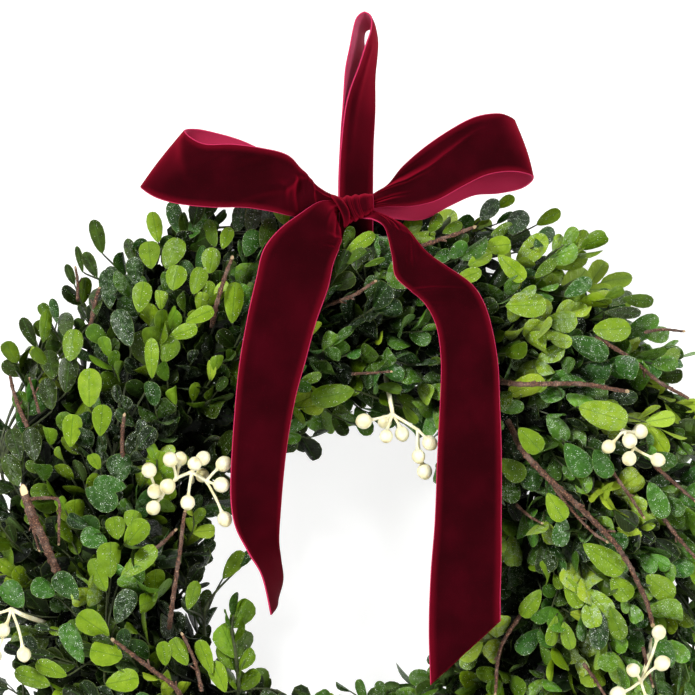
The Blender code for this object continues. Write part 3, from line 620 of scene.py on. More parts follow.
# What the shades above are multiplied by
STRAY_SHADE = 0.86

# The main stem of the sprig that stands into the opening
SPRIG_STEM = (
    (-89.5, -8, -422),
    (-77.5, -30, -401),
    (-78.5, -38, -377),
    (-80.5, -42, -361),
    (-79.5, -44, -353),
)

# The stations along and across a leaf's blade, for the leaves that show and for those deep inside
LEAF_GRIDS = {
    "fine": ((0.0, 0.09, 0.27, 0.50, 0.72, 0.88, 0.97, 1.0), (-1.0, -0.55, 0.0, 0.55, 1.0)),
    "plain": ((0.0, 0.18, 0.42, 0.68, 0.90, 1.0), (-1.0, 0.0, 1.0)),
}

# The velvet shapes by node name and the search trees of the hard pieces, which the operators fill in order
RIBBONS = {}
OBSTACLES = []


def linear(code):
    """An sRGB hex colour as linear red, green, blue and alpha."""
    parts = [int(code[i : i + 2], 16) / 255 for i in (1, 3, 5)]
    return (*(v / 12.92 if v <= 0.04045 else ((v + 0.055) / 1.055) ** 2.4 for v in parts), 1.0)


def colour(default, name, description):
    """A colour property."""
    return bpy.props.FloatVectorProperty(
        name=name, description=description, subtype="COLOR", size=4, min=0.0, max=1.0, default=linear(default)
    )


def length(default_mm, name, description):
    """A length property, whose default is given in millimetres."""
    return bpy.props.FloatProperty(
        name=name,
        description=description,
        subtype="DISTANCE",
        unit="LENGTH",
        min=0.0,
        precision=5,
        default=default_mm * MM,
    )


def count(default, name, description):
    """A whole-number property."""
    return bpy.props.IntProperty(name=name, description=description, default=default, min=0)


# ---------------------------------------------------------------- shapes


def unit(vectors):
    """The vectors at length 1."""
    return vectors / np.maximum(np.linalg.norm(vectors, axis=-1, keepdims=True), 1e-12)


def spline(points, per_span, closed=False):
    """Points along a Catmull-Rom curve through the given ones."""
    points = np.asarray(points, float)
    if closed:
        held = np.concatenate([points[-1:], points, points[:2]])
    else:
        held = np.concatenate([2 * points[:1] - points[1:2], points, 2 * points[-1:] - points[-2:-1]])
    a, b, c, d = (held[k : len(held) - 3 + k, None] for k in range(4))
    t = (np.arange(per_span) / per_span).reshape(1, -1, *[1] * (points.ndim - 1))
    curve = 0.5 * (2 * b + (c - a) * t + (2 * a - 5 * b + 4 * c - d) * t**2 + (3 * b - a - 3 * c + d) * t**3)
    curve = curve.reshape(-1, *points.shape[1:])
    return curve if closed else np.concatenate([curve, points[-1:]])


def travelled(route):
    """How far along a route each of its points is."""
    steps = np.linalg.norm(np.diff(route, axis=0), axis=1)
    return np.concatenate([[0.0], np.cumsum(steps)])


def point_at(route, distance):
    """The point and direction at a distance along a route."""
    far = travelled(route)
    spot = np.array([np.interp(distance, far, route[:, k]) for k in range(3)])
    i = int(np.clip(np.searchsorted(far, distance), 1, len(route) - 1))
    return spot, unit(route[i] - route[i - 1])


def grid_faces(rows, columns, wrap_rows=False, wrap_columns=False):
    """The quads between the points of a grid, counted row by row."""
    r = np.arange(rows if wrap_rows else rows - 1)[:, None]
    c = np.arange(columns if wrap_columns else columns - 1)[None]
    near, far = r * columns, (r + 1) % rows * columns
    left, right = c, (c + 1) % columns
    corners = np.broadcast_arrays(near + left, near + right, far + right, far + left)
    return np.stack(corners, -1).reshape(-1, 4)


def fan(ring, tip, outward):
    """Triangles from a ring of points to a middle one."""
    after = np.roll(ring, -1)
    pairs = (ring, after) if outward else (after, ring)
    return np.stack([*pairs, np.full(len(ring), tip)], -1)


class Shape:
    """The points and faces of one piece, with a finish for each face and named layers on the points."""

    def __init__(self):
        self.points, self.faces, self.finishes, self.layers = [], [], [], {}
        self.count = 0

    def add(self, points, faces, finish=0, **layers):
        """Adds points and the faces between them; each layer is one vector for each point."""
        points = np.asarray(points, float).reshape(-1, 3)
        for name, values in layers.items():
            self.layers.setdefault(name, []).append((self.count, np.asarray(values, float).reshape(-1, 3)))
        for corners in faces:
            self.faces.append(corners + self.count)
            self.finishes.append(np.full(len(corners), finish))
        self.points.append(points)
        self.count += len(points)

    def add_tube(self, route, radii, sides):
        """Adds a round tube along a route, with a radius for each point."""
        self.add_rings(tube_rings(route[None], radii[None], sides)[0])

    def add_rings(self, rings, finish=0, closed=False, **layers):
        """Adds a skin over rings of points, capped at both ends unless it is closed."""
        rows, sides = rings.shape[:2]
        faces = [grid_faces(rows, sides, wrap_rows=closed, wrap_columns=True)]
        points = rings.reshape(-1, 3)
        if not closed:
            points = np.concatenate([points, rings[:1].mean(1), rings[-1:].mean(1)])
            start, end = np.arange(sides), np.arange(sides) + (rows - 1) * sides
            faces += [fan(start, rows * sides, False), fan(end, rows * sides + 1, True)]
            layers = {
                name: np.concatenate([v.reshape(-1, 3), v[0, :1], v[-1, :1]]) for name, v in layers.items()
            }
        self.add(points, faces, finish, **layers)

    def mesh(self, name, sharp_degrees=None):
        """A smooth mesh of everything added."""
        points = np.concatenate(self.points)
        corners = np.concatenate([f.ravel() for f in self.faces])
        sizes = np.concatenate([np.full(len(f), f.shape[1]) for f in self.faces])
        made = bpy.data.meshes.new(name)
        made.vertices.add(len(points))
        made.vertices.foreach_set("co", points.astype(np.float32).ravel())
        made.loops.add(len(corners))
        made.loops.foreach_set("vertex_index", corners.astype(np.int32))
        made.polygons.add(len(sizes))
        made.polygons.foreach_set("loop_start", np.concatenate([[0], np.cumsum(sizes)[:-1]]).astype(np.int32))
        made.polygons.foreach_set("material_index", np.concatenate(self.finishes).astype(np.int32))
        made.update(calc_edges=True)
        if made.validate():
            raise RuntimeError(f"{name} has faults in its faces")
        for layer, parts in self.layers.items():
            values = np.zeros((len(points), 3), np.float32)
            for first, part in parts:
                values[first : first + len(part)] = part
            made.attributes.new(layer, "FLOAT_VECTOR", "POINT").data.foreach_set("vector", values.ravel())
        made.shade_smooth()
        if sharp_degrees:
            made.set_sharp_from_angle(angle=math.radians(sharp_degrees))
        return made

    def tree(self):
        """A search tree of everything added."""
        faces = [corners for group in self.faces for corners in group.tolist()]
        return BVHTree.FromPolygons(np.concatenate(self.points).tolist(), faces)


def tube_rings(routes, radii, sides, closed=False, reference=None):
    """Rings of points round many routes at once: strand, ring, side, coordinate."""
    if closed:
        along = unit(np.roll(routes, -1, 1) - np.roll(routes, 1, 1))
    else:
        along = unit(np.gradient(routes, axis=1))
    if reference is None:
        start = np.cross(along[:, 0], (0.31, 0.72, 0.62))
        side = [unit(start)]
        for k in range(1, routes.shape[1]):
            carried = side[-1] - along[:, k] * (side[-1] * along[:, k]).sum(-1, keepdims=True)
            side.append(unit(carried))
        side = np.stack(side, 1)
    else:
        side = unit(np.cross(along, reference))
    up = np.cross(along, side)
    turn = math.tau * np.arange(sides) / sides
    ring = side[..., None, :] * np.cos(turn)[:, None] + up[..., None, :] * np.sin(turn)[:, None]
    return routes[..., None, :] + ring * radii[..., None, None]


def show(name, mesh, finishes, slot, *replaced):
    """Puts a finished piece in the scene on the frame's only body, in place of the part's own nodes."""
    made = bpy.data.objects.new(name, mesh)
    bpy.context.scene.collection.objects.link(made)
    for finish in finishes:
        mesh.materials.append(finish)
    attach(made, "root")
    if replaced:
        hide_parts(*replaced)
    return made


def station_degrees(index):
    """The angle of a station round the ring, clockwise from the top."""
    return FIRST_STATION + index * 360 / STATIONS


def round_ring(degrees, radius, y):
    """Points at an angle clockwise from the top, at a radius from the wreath's centre."""
    angle = np.radians(degrees)
    return np.stack(
        np.broadcast_arrays(CENTRE_X + radius * np.sin(angle), y, CENTRE_Z + radius * np.cos(angle)), -1
    )


# ---------------------------------------------------------------- finishes

SMOOTH = {"interpolation_type": "SMOOTHSTEP"}
COLOURS = {"data_type": "RGBA", "output": 2}


def per_mm(size):
    """The texture scale whose cells are this many millimetres across."""
    return 1 / (size * MM)


def feed(made, inputs):
    """Gives a node its inputs, each a value or another node's output."""
    for key, item in inputs.items():
        if isinstance(item, bpy.types.NodeSocket):
            made.id_data.links.new(item, made.inputs[key])
        else:
            made.inputs[key].default_value = item


def add_node(tree, kind, inputs=None, output=0, stops=(), **settings):
    """Adds a shader node with its settings, inputs and any colour stops, and gives back one output."""
    made = tree.nodes.new("ShaderNode" + kind)
    for name, value in settings.items():
        setattr(made, name, value)
    feed(made, inputs or {})
    for k, (place, code) in enumerate(stops):
        points = made.color_ramp.elements
        point = points[k] if k < 2 else points.new(place)
        point.position, point.color = place, linear(code)
    return made.outputs[output]


def new_material(name, **values):
    """A material of one Principled shader with these values: the material, its node maker and its shader."""
    made = bpy.data.materials.new(name)
    made.use_nodes = True
    shader = made.node_tree.nodes["Principled BSDF"]
    feed(shader, {key.replace("_", " "): value for key, value in values.items()})
    return made, functools.partial(add_node, made.node_tree), shader


def boxwood_leaf(colours):
    """Preserved boxwood leaf, soaked in glycerine and dusted with glitter: waxy, creased down its middle."""
    made, node, shader = new_material("preserved_boxwood_leaf", IOR=1.45, Specular_IOR_Level=0.16)
    place = node("TexCoord", output="Object")
    blade = node("Attribute", output="Vector", attribute_name="blade")
    along, across, margin = node("SeparateXYZ", {0: blade}).node.outputs
    look = node("Attribute", output="Vector", attribute_name="look")
    tone, frost, cool = node("SeparateXYZ", {0: look}).node.outputs
    depth = node("Attribute", output="Vector", attribute_name="depth")
    share, under, _ = node("SeparateXYZ", {0: depth}).node.outputs
    # A leaf is a little uneven in colour, in blotches about 5 mm across.
    blotch = node("TexNoise", {"Vector": place, "Scale": per_mm(5.0), "Detail": 3.0})
    uneven = node("MapRange", {0: blotch, 1: 0.2, 2: 0.8, 3: -0.10, 4: 0.10})
    shade = node("Math", {0: tone, 1: uneven}, operation="ADD")
    olive = node(
        "ValToRGB",
        {0: shade},
        stops=((0.0, "#0a1002"), (0.25, "#212d03"), (0.5, "#486006"), (0.75, "#718c10"), (1.0, "#9ab02e")),
    )
    emerald = node(
        "ValToRGB",
        {0: shade},
        stops=((0.0, "#050d03"), (0.25, "#13290b"), (0.5, "#2b5918"), (0.75, "#528722"), (1.0, "#90b13c")),
    )
    base = node("Mix", {0: cool, 6: olive, 7: emerald}, **COLOURS)
    # The crease down the middle is about half a millimetre wide, and side veins leave it every 2 mm.
    wide = node("Math", {0: across}, operation="ABSOLUTE")
    crease = node("MapRange", {0: wide, 1: 0.16, 2: 0.42, 3: 0.42, 4: 0.0}, **SMOOTH)
    slant = node("Math", {0: along, 1: wide}, operation="SUBTRACT")
    rhythm = node("Math", {0: slant, 1: 1.0}, operation="PINGPONG")
    vein = node("MapRange", {0: rhythm, 1: 0.0, 2: 0.3, 3: 0.15, 4: 0.0}, **SMOOTH)
    lines = node("Math", {0: crease, 1: vein}, operation="MAXIMUM")
    base = node("Mix", {0: lines, 6: base, 7: colours.crease}, **COLOURS)
    # The rolled margin is painted lighter, as a painted highlight; the underside is paler and duller.
    rim = node("MapRange", {0: margin, 1: 0.1, 2: 0.55, 3: 0.15, 4: 0.0}, **SMOOTH)
    base = node("Mix", {0: rim, 6: base, 7: colours.painted_rim_highlight}, **COLOURS)
    dull = node("Math", {0: under, 1: 0.5}, operation="MULTIPLY")
    base = node("Mix", {0: dull, 6: base, 7: colours.underside}, **COLOURS)
    # Painted shade: leaves deep inside the bunches are darkened to nearly black, for the shade that falls
    # there.
    shade_depth = node("MapRange", {0: share, 1: 0.60, 2: 1.00, 3: 0.95, 4: 0.0}, **SMOOTH)
    base = node("Mix", {0: shade_depth, 6: base, 7: colours.painted_deep_shade}, **COLOURS)
    # Glitter is really 0.2 mm across; it is drawn up to 0.5 mm so that it shows, in drifts about 3 mm across.
    drift = node("TexNoise", {"Vector": place, "Scale": per_mm(3.0), "Detail": 4.0})
    drifted = node("MapRange", {0: drift, 1: 0.40, 2: 0.60, 3: 0.12, 4: 1.0}, **SMOOTH)
    dusted = node("Math", {0: drifted, 1: frost}, operation="MULTIPLY")
    thick = node("Math", {0: dusted, 1: dusted}, operation="MULTIPLY")
    # The dust lies as a pale film between its flecks, and shows most on a bright leaf.
    pale = node("MapRange", {0: shade, 1: 0.35, 2: 0.90, 3: 0.13, 4: 0.45}, **SMOOTH)
    film = node("Math", {0: thick, 1: pale}, operation="MULTIPLY")
    base = node("Mix", {0: film, 6: base, 7: colours.frost}, **COLOURS)
    grain, grains, _ = node("TexVoronoi", {"Vector": place, "Scale": per_mm(0.6)}).node.outputs[:3]
    chance, reach, glow = node("SeparateColor", {0: grains}).node.outputs
    there = node("Math", {0: chance, 1: dusted}, operation="LESS_THAN")
    radius = node("MapRange", {0: reach, 1: 0.0, 2: 1.0, 3: 0.18, 4: 0.44})
    near = node("Math", {0: grain, 1: radius}, operation="LESS_THAN")
    fleck = node("Math", {0: there, 1: near}, operation="MULTIPLY")
    # The flecks are white glitter dust, and their random brightness also stands for painted glints off its
    # facets.
    painted_glint = node("MapRange", {0: glow, 1: 0.35, 2: 1.0, 3: 0.10, 4: 1.0})
    bright = node("Math", {0: fleck, 1: painted_glint}, operation="MULTIPLY")
    base = node("Mix", {0: bright, 6: base, 7: colours.glitter}, **COLOURS)
    rough = node("MapRange", {0: blotch, 1: 0.3, 2: 0.7, 3: 0.24, 4: 0.40})
    crinkle = node("TexNoise", {"Vector": place, "Scale": per_mm(2.6), "Detail": 2.0})
    height = node("Math", {0: crinkle, 1: 1.5, 2: fleck}, operation="MULTIPLY_ADD")
    height = node("Math", {0: height, 1: lines}, operation="SUBTRACT")
    bump = node("Bump", {"Distance": 0.40 * MM, "Height": height})
    feed(shader, {"Base Color": base, "Roughness": rough, "Normal": bump})
    return made


def boxwood_stem(colours):
    """Young boxwood stem: green-brown bark, dull."""
    made, node, shader = new_material("boxwood_stem_bark", Roughness=0.65)
    place = node("TexCoord", output="Object")
    grain = node("TexNoise", {"Vector": place, "Scale": per_mm(1.6), "Detail": 3.0})
    base = node("ValToRGB", {0: grain}, stops=((0.3, "#1c2210"), (0.7, "#4a5528")))
    # Painted shade: stems deep in the foliage are darkened towards nearly black, as the leaves are.
    depth = node("Attribute", output="Vector", attribute_name="depth")
    share = node("SeparateXYZ", {0: depth})
    shade_depth = node("MapRange", {0: share, 1: 0.55, 2: 0.95, 3: 0.85, 4: 0.0}, **SMOOTH)
    base = node("Mix", {0: shade_depth, 6: base, 7: colours.painted_deep_shade}, **COLOURS)
    feed(shader, {"Base Color": base, "Normal": node("Bump", {"Distance": 0.15 * MM, "Height": grain})})
    return made


def twig_bark(colours):
    """Dry twig bark: grey-brown with lengthwise cracks and pale lenticels, fully matt."""
    made, node, shader = new_material("dry_twig_bark", Roughness=0.8)
    place = node("TexCoord", output="Object")
    grain = node("TexNoise", {"Vector": place, "Scale": per_mm(0.9), "Detail": 5.0})
    patches = node("TexNoise", {"Vector": place, "Scale": per_mm(6.0)})
    barks = ((0.3, "#1c100a"), (0.50, "#46291b"), (0.64, "#7c543b"), (0.74, "#c8aa8a"))
    base = node("ValToRGB", {0: grain}, stops=barks)
    bloom = node("MapRange", {0: patches, 1: 0.45, 2: 0.70, 3: 0.0, 4: 0.32}, **SMOOTH)
    base = node("Mix", {0: bloom, 6: base, 7: colours.bark_bloom}, **COLOURS)
    bark = node("Attribute", output="Vector", attribute_name="bark")
    base = node("Mix", {0: node("SeparateXYZ", {0: bark}), 6: base, 7: colours.cut_wood}, **COLOURS)
    feed(shader, {"Base Color": base, "Normal": node("Bump", {"Distance": 0.35 * MM, "Height": grain})})
    return made


def vine_bark():
    """Grapevine bark: stringy, dark brown, with shreds along the strand."""
    made, node, shader = new_material("grapevine_bark", Roughness=0.85)
    place = node("TexCoord", output="Object")
    grain = node("TexNoise", {"Vector": place, "Scale": per_mm(1.4), "Detail": 5.0})
    base = node("ValToRGB", {0: grain}, stops=((0.3, "#2a1a10"), (0.55, "#5f4229"), (0.8, "#8b6a48")))
    feed(shader, {"Base Color": base, "Normal": node("Bump", {"Distance": 0.6 * MM, "Height": grain})})
    return made


def florist_wire(colours):
    """Green enamelled florist's wire: painted steel, so satin with small highlights."""
    made, node, shader = new_material("enamelled_florist_wire", Roughness=0.38, Coat_Weight=0.3)
    place = node("TexCoord", output="Object")
    rubbed = node("TexNoise", {"Vector": place, "Scale": per_mm(2.0), "Detail": 3.0})
    worn = node("MapRange", {0: rubbed, 1: 0.55, 2: 0.75}, **SMOOTH)
    feed(shader, {"Base Color": node("Mix", {0: worn, 6: colours.wire, 7: colours.wire_worn}, **COLOURS)})
    return made


def berry_skin(colours):
    """Moulded foam berry with a soft paint skin: cream, with a yellower side and a slight gloss."""
    made, node, shader = new_material("painted_foam_berry", Roughness=0.38, Subsurface_Weight=0.15)
    feed(shader, {"Subsurface Radius": (4 * MM, 3 * MM, 1.5 * MM), "Subsurface Scale": 1.0})
    place = node("TexCoord", output="Object")
    cloud = node("TexNoise", {"Vector": place, "Scale": per_mm(7.0)})
    yellow = node("MapRange", {0: cloud, 1: 0.35, 2: 0.70}, **SMOOTH)
    base = node("Mix", {0: yellow, 6: colours.berry, 7: colours.berry_shade}, **COLOURS)
    skin = node("Attribute", output="Vector", attribute_name="skin")
    nub = node("Math", {0: node("SeparateXYZ", {0: skin}), 1: 0.8}, operation="MULTIPLY")
    base = node("Mix", {0: nub, 6: base, 7: colours.berry_nub}, **COLOURS)
    grain = node("TexNoise", {"Vector": place, "Scale": per_mm(1.2)})
    feed(shader, {"Base Color": base, "Normal": node("Bump", {"Distance": 0.08 * MM, "Height": grain})})
    return made


def velvet(colours):
    """Rayon velvet ribbon: near black where it is seen straight on, with a crimson sheen painted where it is
    seen at a slant and near its edges.
    """
    made, node, shader = new_material(
        "rayon_velvet_ribbon", IOR=1.4, Specular_IOR_Level=0.05, Sheen_Weight=0.06, Sheen_Roughness=0.30
    )
    feed(shader, {"Sheen Tint": colours.sheen})
    place = node("TexCoord", output="Object")
    cloth = node("Attribute", output="Vector", attribute_name="cloth")
    edge, back, laid = node("SeparateXYZ", {0: cloth}).node.outputs
    # Strokes in the pile are about 25 mm long. Its threads are really 0.1 mm, but drawn at 0.5 mm to show.
    stroke = node("TexNoise", {"Vector": place, "Scale": per_mm(25.0)})
    brushed = node("MapRange", {0: stroke, 1: 0.3, 2: 0.8, 3: 0.0, 4: 0.6}, **SMOOTH)
    field = node("Mix", {0: brushed, 6: colours.velvet, 7: colours.velvet_brushed}, **COLOURS)
    pile = node("TexNoise", {"Vector": place, "Scale": per_mm(0.5)})
    # Painted highlight: single threads of the pile are painted brighter where they would catch the light.
    tips = node("MapRange", {0: pile, 1: 0.58, 2: 0.85, 3: 0.0, 4: 0.3}, **SMOOTH)
    field = node("Mix", {0: tips, 6: field, 7: colours.pile_glint}, **COLOURS)
    # Painted sheen: the pile is painted crimson within a few millimetres of an edge and where it is seen at a
    # slant.
    edge_sheen = node("MapRange", {0: edge, 1: 0.5, 2: 5.0, 3: 0.35, 4: 0.0}, **SMOOTH)
    slant = node("LayerWeight", {"Blend": 0.5}, "Facing")
    painted_sheen = node("MapRange", {0: slant, 1: 0.04, 2: 0.72, 3: 0.0, 4: 0.88}, **SMOOTH)
    # Near a tail's end the pile lies towards the eye, so the painted sheen is weakened and it stays dark at a
    # slant.
    standing = node("MapRange", {0: laid, 3: 1.0, 4: 0.25})
    painted_sheen = node("Math", {0: painted_sheen, 1: standing}, operation="MULTIPLY")
    painted_sheen = node("Math", {0: painted_sheen, 1: edge_sheen}, operation="MAXIMUM")
    field = node("Mix", {0: painted_sheen, 6: field, 7: colours.painted_pile_sheen}, **COLOURS)
    # Painted sheen: the smooth back is painted lighter where it is seen at a slant.
    turned = node("MapRange", {0: slant, 1: 0.15, 2: 0.9}, **SMOOTH)
    inner = node("Mix", {0: turned, 6: colours.ribbon_back, 7: colours.ribbon_back_sheen}, **COLOURS)
    base = node("Mix", {0: back, 6: field, 7: inner}, **COLOURS)
    woven = node("MapRange", {0: edge, 1: 0.25, 2: 0.62, 3: 0.9, 4: 0.0}, **SMOOTH)
    base = node("Mix", {0: woven, 6: base, 7: colours.selvedge}, **COLOURS)
    smooth = node("Math", {0: back, 1: woven}, operation="MAXIMUM")
    rough = node("MapRange", {0: smooth, 3: 0.9, 4: 0.6})
    bump = node("Bump", {"Strength": 0.7, "Distance": 0.10 * MM, "Height": pile})
    feed(shader, {"Base Color": base, "Roughness": rough, "Normal": bump})
    return made


def background_rays(node):
    """1 for the rays that show a background: from the camera, off a gloss or through glass."""
    paths = node("LightPath").node.outputs
    direct = node("Math", {0: paths["Is Camera Ray"], 1: paths["Is Glossy Ray"]}, operation="MAXIMUM")
    return node("Math", {0: direct, 1: paths["Is Transmission Ray"]}, operation="MAXIMUM")


def pale_backdrop(node, shader):
    """A surface that still takes a shadow but is nearly white to the rays that show a background."""
    seen = node("Math", {0: background_rays(node), 1: 0.53}, operation="MULTIPLY")
    white = node("Emission", {"Color": linear("#ffffff"), "Strength": 1.46})
    return node("MixShader", {0: seen, 1: shader.outputs[0], 2: white})


def wall_paint(colours):
    """Matt white wall paint. It lets light and sight through from behind, so that the back can be seen."""
    made, node, shader = new_material("matt_wall_paint", Roughness=1.0, Specular_IOR_Level=0.0)
    feed(shader, {"Base Color": colours.wall})
    front = pale_backdrop(node, shader)
    behind = node("NewGeometry", output="Backfacing")
    shadow = node("LightPath", output="Is Shadow Ray")
    through = node("Math", {0: behind, 1: shadow}, operation="MAXIMUM")
    both = node("MixShader", {0: through, 1: front, 2: node("BsdfTransparent")})
    feed(made.node_tree.nodes["Material Output"], {"Surface": both})
    return made


def floor_finish(colours):
    """Matt pale vinyl floor."""
    made, node, shader = new_material("matt_vinyl_floor", Roughness=0.9)
    cloud = node("TexNoise", {"Vector": node("TexCoord", output="Object"), "Scale": per_mm(30.0)})
    feed(shader, {"Base Color": node("Mix", {0: cloud, 6: colours.wall, 7: colours.floor}, **COLOURS)})
    feed(made.node_tree.nodes["Material Output"], {"Surface": pale_backdrop(node, shader)})
    return made


# ---------------------------------------------------------------- settings


class WreathColours(bpy.types.PropertyGroup):
    """The colours that a user would change."""

    crease: colour("#3f6420", "Leaf crease", "The line down a leaf's middle")
    # Painted highlight on a leaf's rolled margin
    painted_rim_highlight: colour("#a9c069", "Leaf rim", "The thin rolled margin of a leaf")
    underside: colour("#6d8a48", "Leaf underside", "The dull side of a leaf")
    # Painted shade for the leaves and stems deep inside
    painted_deep_shade: colour("#040802", "Deep leaf shade", "The leaves deep inside")
    frost: colour("#98b284", "Frost film", "The pale film on a frosted leaf")
    # White of the glitter flecks, which also carry painted glints
    glitter: colour("#f2f8f4", "Glitter", "The flecks on a frosted leaf")
    bark_bloom: colour("#8e7a6d", "Bark bloom", "The grey patches on a twig")
    cut_wood: colour("#f0d8a4", "Cut wood", "A twig's cut end")
    wire: colour("#1e3a26", "Wire", "The florist's wire")
    wire_worn: colour("#3c4a40", "Worn wire", "Where the wire's enamel is thin")
    berry: colour("#f6f1d0", "Berry", "The berries and their stalks")
    berry_shade: colour("#e9dfae", "Berry shade", "The yellower parts of a berry")
    berry_nub: colour("#b9ab6a", "Berry tip", "The small nub at a berry's end")
    velvet: colour("#240004", "Velvet", "The ribbon's pile, seen straight on")
    velvet_brushed: colour("#3c010b", "Brushed velvet", "Where the pile was stroked the other way")
    # Painted glints on single threads of the pile
    pile_glint: colour("#650619", "Pile tips", "Single threads that catch the light")
    # Painted sheen on the pile where it is seen at a slant or near an edge
    painted_pile_sheen: colour("#860a22", "Velvet at a slant", "The pile, seen along the cloth")
    sheen: colour("#e0486f", "Velvet sheen", "The glow along a fold")
    selvedge: colour("#c4325c", "Selvedge", "The woven edge of the ribbon")
    ribbon_back: colour("#a12746", "Ribbon back", "The smooth side of the ribbon")
    # Painted sheen on the ribbon's back where it is seen at a slant
    ribbon_back_sheen: colour("#c45c7a", "Ribbon back at a slant", "The smooth side, seen along the cloth")
    wall: colour("#f4f4f3", "Wall", "The wall that the wreath hangs on")
    floor: colour("#ecebe8", "Floor", "The floor below it")


class WreathSizes(bpy.types.PropertyGroup):
    """The sizes that a user would change."""

    seed: count(24, "Seed", "Which wreath of its kind is made")
    leaf_length: length(19.5, "Leaf length", "A typical leaf, from its stalk to its tip")
    leaf_shape: bpy.props.FloatProperty(
        name="Leaf shape",
        description="A leaf's width as a share of its length",
        default=0.64,
        min=0.2,
        max=1.0,
    )
    leaf_thickness: length(0.42, "Leaf thickness", "The thickness of a blade at its middle")
    leaf_gap: length(6.8, "Leaf gap", "How close the middles of two leaves may be")
    leaf_step: length(7.6, "Leaf step", "How far apart the pairs of leaves are on a shoot")
    outer_shoots: count(35, "Outer shoots", "Shoots in an outer bunch")
    front_shoots: count(34, "Front shoots", "Shoots in a front bunch")
    inner_shoots: count(18, "Inner shoots", "Shoots in an inner bunch")
    outer_inner_shoots: count(18, "Deep outer shoots", "Shoots inside an outer bunch")
    front_inner_shoots: count(16, "Deep front shoots", "Shoots inside a front bunch")
    inner_inner_shoots: count(11, "Deep inner shoots", "Shoots inside an inner bunch")
    ribbon_width: length(38.0, "Bow ribbon width", "The bow's ribbon, flat")
    loop_width: length(21.0, "Hanging ribbon width", "The hanging loop's ribbon, flat")
    ribbon_thickness: length(0.9, "Ribbon thickness", "The velvet with its pile")
    berry_radius: length(4.2, "Berry radius", "A typical berry")
    stalk_radius: length(0.85, "Stalk radius", "A berry's stalk at its middle")
    wire_radius: length(0.45, "Wire radius", "The florist's wire")
    strand_radius: length(4.0, "Vine radius", "One strand of the ring")


# ---------------------------------------------------------------- ribbons


def ribbon_columns():
    """Shares across a ribbon, closer together at its selvedges."""
    edge = np.array((0.0, 0.008, 0.02, 0.036, 0.06))
    return np.concatenate([edge, np.linspace(0.095, 0.905, 26), 1 - edge[::-1]])


def fold_relief(folds, along_mm, width_mm):
    """The height of a ribbon's folds over its grid, in millimetres; each fades towards its line's end."""
    s, v = np.meshgrid(along_mm, ribbon_columns() * width_mm, indexing="ij")
    places = np.arange(len(along_mm)) / SPAN_POINTS
    # Two faint waves keep the cloth between the folds from being quite flat.
    relief = 0.25 * np.sin(s / 11.0 + v / 17.0) + 0.20 * np.sin(s / 6.5 - v / 9.0 + 1.3)
    for line, wide, high in folds:
        corners = [
            np.array((np.interp(station, places, along_mm), share * width_mm)) for station, share in line
        ]
        near, fade = np.full_like(s, 1e9), np.ones_like(s)
        for k, (a, b) in enumerate(zip(corners, corners[1:])):
            way = b - a
            share = np.clip(((s - a[0]) * way[0] + (v - a[1]) * way[1]) / (way @ way), 0, 1)
            off = np.hypot(s - a[0] - share * way[0], v - a[1] - share * way[1])
            closer = off < near
            near = np.where(closer, off, near)
            fade = np.where(closer, 1 - 0.7 * ((k + share) / (len(corners) - 1)) ** 2, fade)
        relief += high * np.exp(-((near / wide) ** 2)) * fade
    return relief


def ribbon_shape(stations, folds, width, thickness, back_sign, closed, cup, laid):
    """A velvet strip between two edges, with rolled selvedges, a soft cup and folds, and its length.

    `back_sign` tells which side the back is on, and `laid` how far the pile is laid down at the strip's end,
    which weakens the painted sheen there.
    """
    edges = spline(np.array(stations) * MM, SPAN_POINTS, closed)
    first, second = edges[:, 0], edges[:, 1]
    shares = ribbon_columns()[None, :, None]
    middle = first[:, None] * (1 - shares) + second[:, None] * shares
    centre = (first + second) / 2
    if closed:
        along = np.roll(middle, -1, 0) - np.roll(middle, 1, 0)
    else:
        along = np.gradient(middle, axis=0)
    normal = unit(np.cross(unit(along), unit(second - first)[:, None])) * back_sign
    along_mm = travelled(centre) / MM
    relief = fold_relief(folds, along_mm, width / MM)
    relief += cup * np.sin(math.pi * ribbon_columns())[None]
    middle = middle + normal * relief[..., None] * MM
    # The selvedge is a rolled bead: a little thicker than the ground, and round.
    from_edge = np.minimum(ribbon_columns(), 1 - ribbon_columns()) * width / MM
    half = thickness / 2 * np.clip(1 - (1 - np.minimum(from_edge / SELVEDGE_ROUND, 1)) ** 2, 0.05, 1) ** 0.5
    bead, wide, high = SELVEDGE_BEAD
    half = half + high * MM * np.exp(-(((from_edge - bead) / wide) ** 2))
    front = middle + normal * half[None, :, None]
    rear = middle - normal * half[None, :, None]
    ring = np.concatenate([front, rear[:, ::-1]], 1)
    columns = len(from_edge)
    edge = np.concatenate([from_edge, from_edge[::-1]])
    back = np.concatenate([np.zeros(columns), np.ones(columns)])
    down = laid * np.clip((np.linspace(0, 1, len(ring)) - 0.55) / 0.25, 0, 1)[:, None]
    cloth = np.stack(np.broadcast_arrays(edge, back, down), -1)
    made = Shape()
    made.add_rings(ring, closed=closed, cloth=cloth)
    return made, travelled(centre)[-1] + (np.linalg.norm(centre[0] - centre[-1]) if closed else 0.0)


